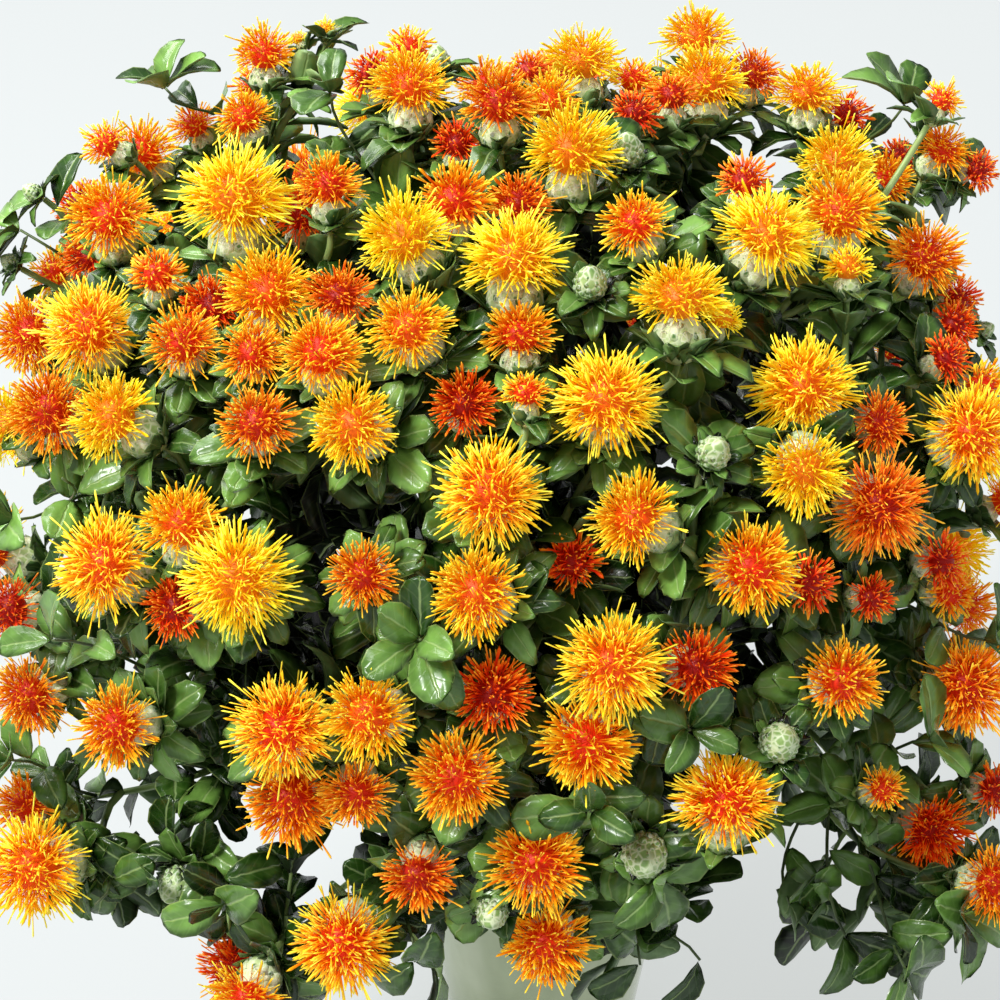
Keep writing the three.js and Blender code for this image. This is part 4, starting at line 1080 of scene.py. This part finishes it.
def leaf_skin(name, low, high, rib, roughness):
    """A thick waxy leaf: a pale midrib and side veins, blistered between them, and a thin pale rim."""
    material, tree, shader = new_material(name)
    place = add(tree, "TexCoord", {})["Object"]
    shade = add(tree, "Attribute", {}, attribute_name="shade")["Fac"]
    uv = add(tree, "UVMap", {}, uv_map="leaf")[0]
    parts = add(tree, "SeparateXYZ", {0: uv})
    side = add(tree, "Math", {0: parts["X"], 1: 2.0, 2: -1.0}, operation="MULTIPLY_ADD")[0]
    off = add(tree, "Math", {0: side}, operation="ABSOLUTE")[0]
    midrib = add(tree, "MapRange", {0: off, 1: 0.02, 2: 0.1, 3: 1.0, 4: 0.0})[0]
    rim = add(tree, "MapRange", {0: off, 1: 0.9, 2: 0.99, 3: 0.0, 4: 0.75})[0]
    # Seven pairs of side veins, about 4 mm apart, that run forwards to the rim
    slant = add(tree, "Math", {0: off, 1: -1.5}, operation="MULTIPLY")[0]
    row = add(tree, "Math", {0: parts["Y"], 1: 7.0, 2: slant}, operation="MULTIPLY_ADD")[0]
    back = add(tree, "Math", {0: row, 1: 0.5}, operation="PINGPONG")[0]
    veins = add(tree, "MapRange", {0: back, 1: 0.0, 2: 0.12, 3: 1.0, 4: 0.0})[0]
    lines = add(tree, "Math", {0: veins, 1: 0.14, 2: midrib}, operation="MULTIPLY_ADD")[0]
    # Blotches about 9 mm across
    blotches = add(tree, "TexNoise", {"Vector": place, "Scale": 1 / 0.009, "Detail": 2.0})["Fac"]
    depth = add(tree, "Math", {0: blotches, 1: shade}, operation="ADD")[0]
    half = add(tree, "Math", {0: depth, 1: 0.5}, operation="MULTIPLY")[0]
    # The darkest stop serves the painted shade that the shade number carries for leaves deep in the crown and
    # low down
    green = add(tree, "ValToRGB", {0: half}, [(0, "#071004"), (0.3, low), (0.8, high)])[0]
    most = add(tree, "Math", {0: lines, 1: 0.45}, operation="MULTIPLY", use_clamp=True)[0]
    ribbed = add(tree, "Mix", {0: most, 6: green, 7: linear(rib)}, data_type="RGBA")[2]
    edged = add(tree, "Mix", {0: rim, 6: ribbed, 7: linear("#8FA65A")}, data_type="RGBA")[2]
    # Blisters about 6 mm across break up the shine, and the veins are sunk between them
    blisters = add(tree, "TexNoise", {"Vector": place, "Scale": 1 / 0.006, "Detail": 1.0})["Fac"]
    sunk = add(tree, "Math", {0: lines, 1: -0.5, 2: blisters}, operation="MULTIPLY_ADD")[0]
    bump = add(tree, "Bump", {"Strength": 0.6, "Distance": 0.001, "Height": sunk})[0]
    join(tree, shader, {"Base Color": edged, "Normal": bump, "Roughness": roughness})
    return material


def add_hairs(tree, place, width, rim, most):
    """A net of hairs about as wide as width in metres, from 0 between them to most on a hair."""
    cells = {"Vector": place, "Scale": 1 / width}
    net = add(tree, "TexVoronoi", cells, feature="DISTANCE_TO_EDGE")["Distance"]
    return add(tree, "MapRange", {0: net, 1: rim[0], 2: rim[1], 3: most, 4: 0.0})[0]


def globe_skin():
    """A head's base, where its scales have grown together: pale green under a net of white hairs."""
    material, tree, shader = new_material("globe_skin")
    place = add(tree, "TexCoord", {})["Object"]
    shade = add(tree, "Attribute", {}, attribute_name="shade")["Fac"]
    # Patches about 6 mm across
    patches = add(tree, "TexNoise", {"Vector": place, "Scale": 1 / 0.006, "Detail": 3.0})["Fac"]
    depth = add(tree, "Math", {0: shade, 1: 0.3, 2: patches}, operation="MULTIPLY_ADD")[0]
    stops = [(0.2, "#6E8F4A"), (0.38, "#88A65C"), (0.62, "#B4C984"), (0.9, "#DCE7B8")]
    green = add(tree, "ValToRGB", {0: depth}, stops)[0]
    hairs = add_hairs(tree, place, 0.0032, (0.02, 0.2), 0.65)
    haired = add(tree, "Mix", {0: hairs, 6: green, 7: linear("#E4ECCA")}, data_type="RGBA")[2]
    bump = add(tree, "Bump", {"Strength": 0.3, "Distance": 0.0004, "Height": hairs})[0]
    join(tree, shader, {"Base Color": haired, "Normal": bump, "Roughness": 0.5})
    return material


def scale_skin():
    """A papery cream scale with a green window near its tip and fine white hairs."""
    material, tree, shader = new_material("scale_skin")
    place = add(tree, "TexCoord", {})["Object"]
    shade = add(tree, "Attribute", {}, attribute_name="shade")["Fac"]
    bulge = add(tree, "Attribute", {}, attribute_name="window")["Fac"]
    # The window takes a third of the scale's width, with a frayed rim, and is wider and paler on the buds
    frayed = add(tree, "TexNoise", {"Vector": place, "Scale": 1 / 0.0015, "Detail": 2.0})["Fac"]
    ragged = add(tree, "Math", {0: frayed, 1: 0.3, 2: bulge}, operation="MULTIPLY_ADD")[0]
    wide = add(tree, "Math", {0: shade, 1: -0.22, 2: ragged}, operation="MULTIPLY_ADD")[0]
    window = add(tree, "MapRange", {0: wide, 1: 0.7, 2: 0.84, 3: 0.0, 4: 1.0})[0]
    # Blotches about 4 mm across
    fine = add(tree, "TexNoise", {"Vector": place, "Scale": 1 / 0.004, "Detail": 2.0})["Fac"]
    depth = add(tree, "Math", {0: shade, 1: 0.3, 2: fine}, operation="MULTIPLY_ADD")[0]
    stops = [(0, "#8FAC70"), (0.3, "#A3BC7E"), (0.55, "#B9CC8C"), (0.9, "#DCE7BC")]
    cream = add(tree, "ValToRGB", {0: depth}, stops)[0]
    stops = [(0, "#86A466"), (0.25, "#7A9C58"), (0.5, "#38642A"), (0.9, "#5C8440")]
    green = add(tree, "ValToRGB", {0: depth}, stops)[0]
    mixed = add(tree, "Mix", {0: window, 6: cream, 7: green}, data_type="RGBA")[2]
    hairs = add_hairs(tree, place, 0.0024, (0.03, 0.16), 0.5)
    haired = add(tree, "Mix", {0: hairs, 6: mixed, 7: linear("#F4F6E6")}, data_type="RGBA")[2]
    bump = add(tree, "Bump", {"Strength": 0.4, "Distance": 0.0003, "Height": hairs})[0]
    join(tree, shader, {"Base Color": haired, "Normal": bump, "Roughness": 0.55})
    return material


# A floret's colours from its root to its tip, when its head is young, in full flower and old. The dark roots
# are partly the florets' own red and partly painted shade deep in the tuft.
AGES = [
    [(0, "#D66400"), (0.3, "#FAAE04"), (0.55, "#FFD80A"), (0.75, "#FFEA1C"), (1, "#FFF858")],
    [(0, "#CC1400"), (0.3, "#F24600"), (0.52, "#FF8A06"), (0.72, "#FFC412"), (1, "#FFF248")],
    [(0, "#720600"), (0.3, "#BC1100"), (0.55, "#E43100"), (0.75, "#F86807"), (1, "#FFBC30")],
]


def floret_petals():
    """Thin dry florets: each head ages from yellow through orange to red, and is darkest at its middle,
    partly as painted shade.
    """
    material, tree, shader = new_material("floret_petals")
    along, tint, age = [
        add(tree, "Attribute", {}, attribute_name=name)["Fac"] for name in ("along", "tint", "ripeness")
    ]
    # One strand is up to an eighth of its length yellower or redder than the next
    moved = add(tree, "Math", {0: tint, 1: 0.24, 2: -0.12}, operation="MULTIPLY_ADD")[0]
    far = add(tree, "Math", {0: along, 1: moved}, operation="ADD", use_clamp=True)[0]
    young, middle, old = [add(tree, "ValToRGB", {0: far}, stops)[0] for stops in AGES]
    early = add(tree, "MapRange", {0: age, 1: 0.1, 2: 0.5, 3: 0.0, 4: 1.0})[0]
    late = add(tree, "MapRange", {0: age, 1: 0.5, 2: 0.9, 3: 0.0, 4: 1.0})[0]
    half = add(tree, "Mix", {0: early, 6: young, 7: middle}, data_type="RGBA")[2]
    full = add(tree, "Mix", {0: late, 6: half, 7: old}, data_type="RGBA")[2]
    # The petals glow a little: painted light that stands in for the light coming through the thin petals from
    # behind
    join(tree, shader, {
        "Base Color": full, "Roughness": 0.5, "Specular IOR Level": 0.3,
        "Emission Color": full, "Emission Strength": 0.21,
    })
    material.cycles.emission_sampling = "NONE"
    return material


def pale_backdrop():
    """A matte studio table, which glows a little as one does under soft light."""
    material, tree, shader = new_material("pale_backdrop")
    join(tree, shader, {
        "Base Color": linear("#66696B"), "Roughness": 0.9, "Specular IOR Level": 0.1,
        "Emission Color": linear("#F2F6F4"), "Emission Strength": 0.67,
    })
    material.cycles.emission_sampling = "NONE"
    return material


def in_scene(mesh, name, materials):
    """Puts a finished mesh into the scene under its name."""
    mesh.name = name
    for material in materials:
        mesh.materials.append(material)
    mesh.shade_smooth()
    made = bpy.data.objects.new(name, mesh)
    bpy.context.scene.collection.objects.link(made)
    return made


def place_piece(mesh, name, materials, replaced):
    made = in_scene(mesh, name, materials)
    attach(made, "root")
    if replaced:
        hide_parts(replaced)


# The pot and its soil

POT_OUTLINE = [
    (0, 0), (47, 0), (48.4, 0.3), (49.4, 1.2), (50, 3), (50.6, 8), (57.4, 57), (64.6, 107), (65.2, 110),
    (66.6, 112.4), (67.7, 114.6), (68, 116.6), (67.6, 118.6), (66.4, 119.7), (65, 120), (62.8, 119.9),
    (61.3, 119.2), (60.4, 117.4), (60, 115), (52.5, 63.5), (45, 12), (43.6, 8.6), (41, 7.2), (39, 7), (0, 7),
]
SOIL_OUTLINE = [(0, 7.3), (40.8, 7.3), (44.7, 12.3), (57.7, 103.6)]
# The soil's top rises from its rim to a flat middle
SOIL_TOP = {"radius": 57, "rise": 5, "slope": 28.8, "rings": 17, "ring_width": 3.2}
# How far the soil's points are moved up or down, in metres
CRUMBLY = (-0.0011, 0.0009)
CRUMBS = {"count": 240, "reach": 54, "sunk": 0.2, "radius": (0.9, 2.3)}


def metres(outline):
    return [(radius * MM, height * MM) for radius, height in outline]


def soil_height(reach):
    return SOIL["top"] + SOIL_TOP["rise"] * min(1, (SOIL_TOP["radius"] - reach) / SOIL_TOP["slope"])


def soil_shape():
    """The soil's body, with a crumbly top."""
    reaches = [SOIL_TOP["radius"] - SOIL_TOP["ring_width"] * i for i in range(SOIL_TOP["rings"])] + [0]
    outline = SOIL_OUTLINE + [(reach, soil_height(reach)) for reach in reaches]
    luck = random.Random(SEEDS["soil"])
    bm = bmesh.new()
    bm.from_mesh(spun(metres(outline), 72, "soil"))
    for v in bm.verts:
        inside_rim = math.hypot(v.co.x, v.co.y) < (SOIL_TOP["radius"] - 0.5) * MM
        if inside_rim and v.co.z > (SOIL["top"] - 0.2) * MM:
            v.co.z += luck.uniform(*CRUMBLY)
    return finished(bm, "soil")


def soil_crumbs():
    """Loose crumbs of bark and peat on the soil."""
    luck = random.Random(SEEDS["crumbs"])
    bm = bmesh.new()
    bmesh.ops.create_icosphere(bm, subdivisions=1, radius=1)
    crumb = finished(bm, "crumb")
    piece = Piece()
    for _ in range(CRUMBS["count"]):
        reach = CRUMBS["reach"] * math.sqrt(luck.random())
        turn = luck.uniform(0, math.tau)
        at = np.array([reach * math.cos(turn), reach * math.sin(turn), soil_height(reach) - CRUMBS["sunk"]])
        axis = (luck.uniform(-1, 1), luck.uniform(-1, 1), luck.uniform(0.2, 1))
        squeeze = Matrix.Diagonal((1, luck.uniform(0.5, 0.9), luck.uniform(0.4, 0.8), 1))
        place = standing(at * MM, axis, luck.uniform(*CRUMBS["radius"]) * MM, luck.uniform(0, 6)) @ squeeze
        piece.set_in(crumb, place, luck.random())
    return piece.shape("crumbs")


# The whole object

earth = potting_soil()
place_piece(spun(metres(POT_OUTLINE), 96, "pot"), "pot_glazed", [glazed_stoneware()], "pot")
place_piece(soil_shape(), "soil_bed", [earth], "soil")
place_piece(soil_crumbs(), "soil_crumbs", [earth], None)

petals, stem_green, globe_green = floret_petals(), stem_skin(), [globe_skin(), scale_skin()]
leaf_green = [
    leaf_skin("leaf_upper", "#264610", "#7CA84C", "#A8C07C", 0.27),
    leaf_skin("leaf_underside", "#41602F", "#7F9C60", "#A4BA7C", 0.5),
]
plants, heads = grow_plants()
sights = Sights(heads)
for number, plant in enumerate(plants, 1):
    tufts, globes, bracts = head_pieces(plant, SEEDS["heads"] + number)
    foliage = grow_foliage(plant, number, sights)
    for kind, piece, skins in [
        ("stems", foliage.stems, [stem_green]), ("leaves", foliage.leaves, leaf_green),
        ("globes", globes, globe_green), ("bracts", bracts, leaf_green), ("florets", tufts, [petals]),
    ]:
        place_piece(piece.shape(kind), f"{kind}_{number}", skins, f"plant_{number}")


# Floor, light and camera

FLOOR_OUTLINE = [(0, 0), (2, 0), (4, 0.02), (5, 0.2), (5.7, 0.7), (6, 1.4), (6.1, 2.6)]
SUN = {"from": (-0.62, -0.4, 1.0), "degrees_wide": 16, "strength": 3.8}
SOFTBOX = {"at": (-0.9, 0.7, 1.7), "aim": (0, 0, 0.35), "side": 1.1, "watts": 36}
SKY = {"colour": "#F4F8FF", "strength": 0.34}


def hang(light, name, at, from_way):
    """Hangs a light at a place in metres, so that it shines from a direction."""
    lamp = bpy.data.objects.new(name, light)
    lamp.location = at
    lamp.rotation_euler = Vector(from_way).to_track_quat("Z", "Y").to_euler()
    bpy.context.scene.collection.objects.link(lamp)


def set_light():
    """A high sun from the front left, a softbox at the back left for the leaves' shine, and a dim sky."""
    world = bpy.data.worlds.new("studio")
    bpy.context.scene.world = world
    world.use_nodes = True
    sky = world.node_tree.nodes["Background"]
    sky.inputs["Color"].default_value = linear(SKY["colour"])
    sky.inputs["Strength"].default_value = SKY["strength"]
    sun = bpy.data.lights.new("high", "SUN")
    sun.angle = math.radians(SUN["degrees_wide"])
    sun.energy = SUN["strength"]
    hang(sun, "high", (0, 0, 0), SUN["from"])
    box = bpy.data.lights.new("glint", "AREA")
    box.shape = "SQUARE"
    box.size = SOFTBOX["side"]
    box.energy = SOFTBOX["watts"]
    hang(box, "glint", SOFTBOX["at"], Vector(SOFTBOX["at"]) - Vector(SOFTBOX["aim"]))
    bpy.context.scene.view_settings.view_transform = "Standard"


def set_camera():
    """A camera where the photograph was taken from."""
    data = bpy.data.cameras.new("camera")
    data.lens = 90
    data.sensor_width = 36
    data.clip_end = 100
    made = bpy.data.objects.new("camera", data)
    made.location = Vector(VIEWER * MM)
    made.rotation_euler = (math.radians(90 - VIEW["elevation"]), 0, 0)
    bpy.context.scene.collection.objects.link(made)
    bpy.context.scene.camera = made


# A wide pale floor that turns up all round and faces inwards
floor = spun(FLOOR_OUTLINE, 64, "floor")
floor.flip_normals()
in_scene(floor, "floor", [pale_backdrop()])
set_light()
set_camera()
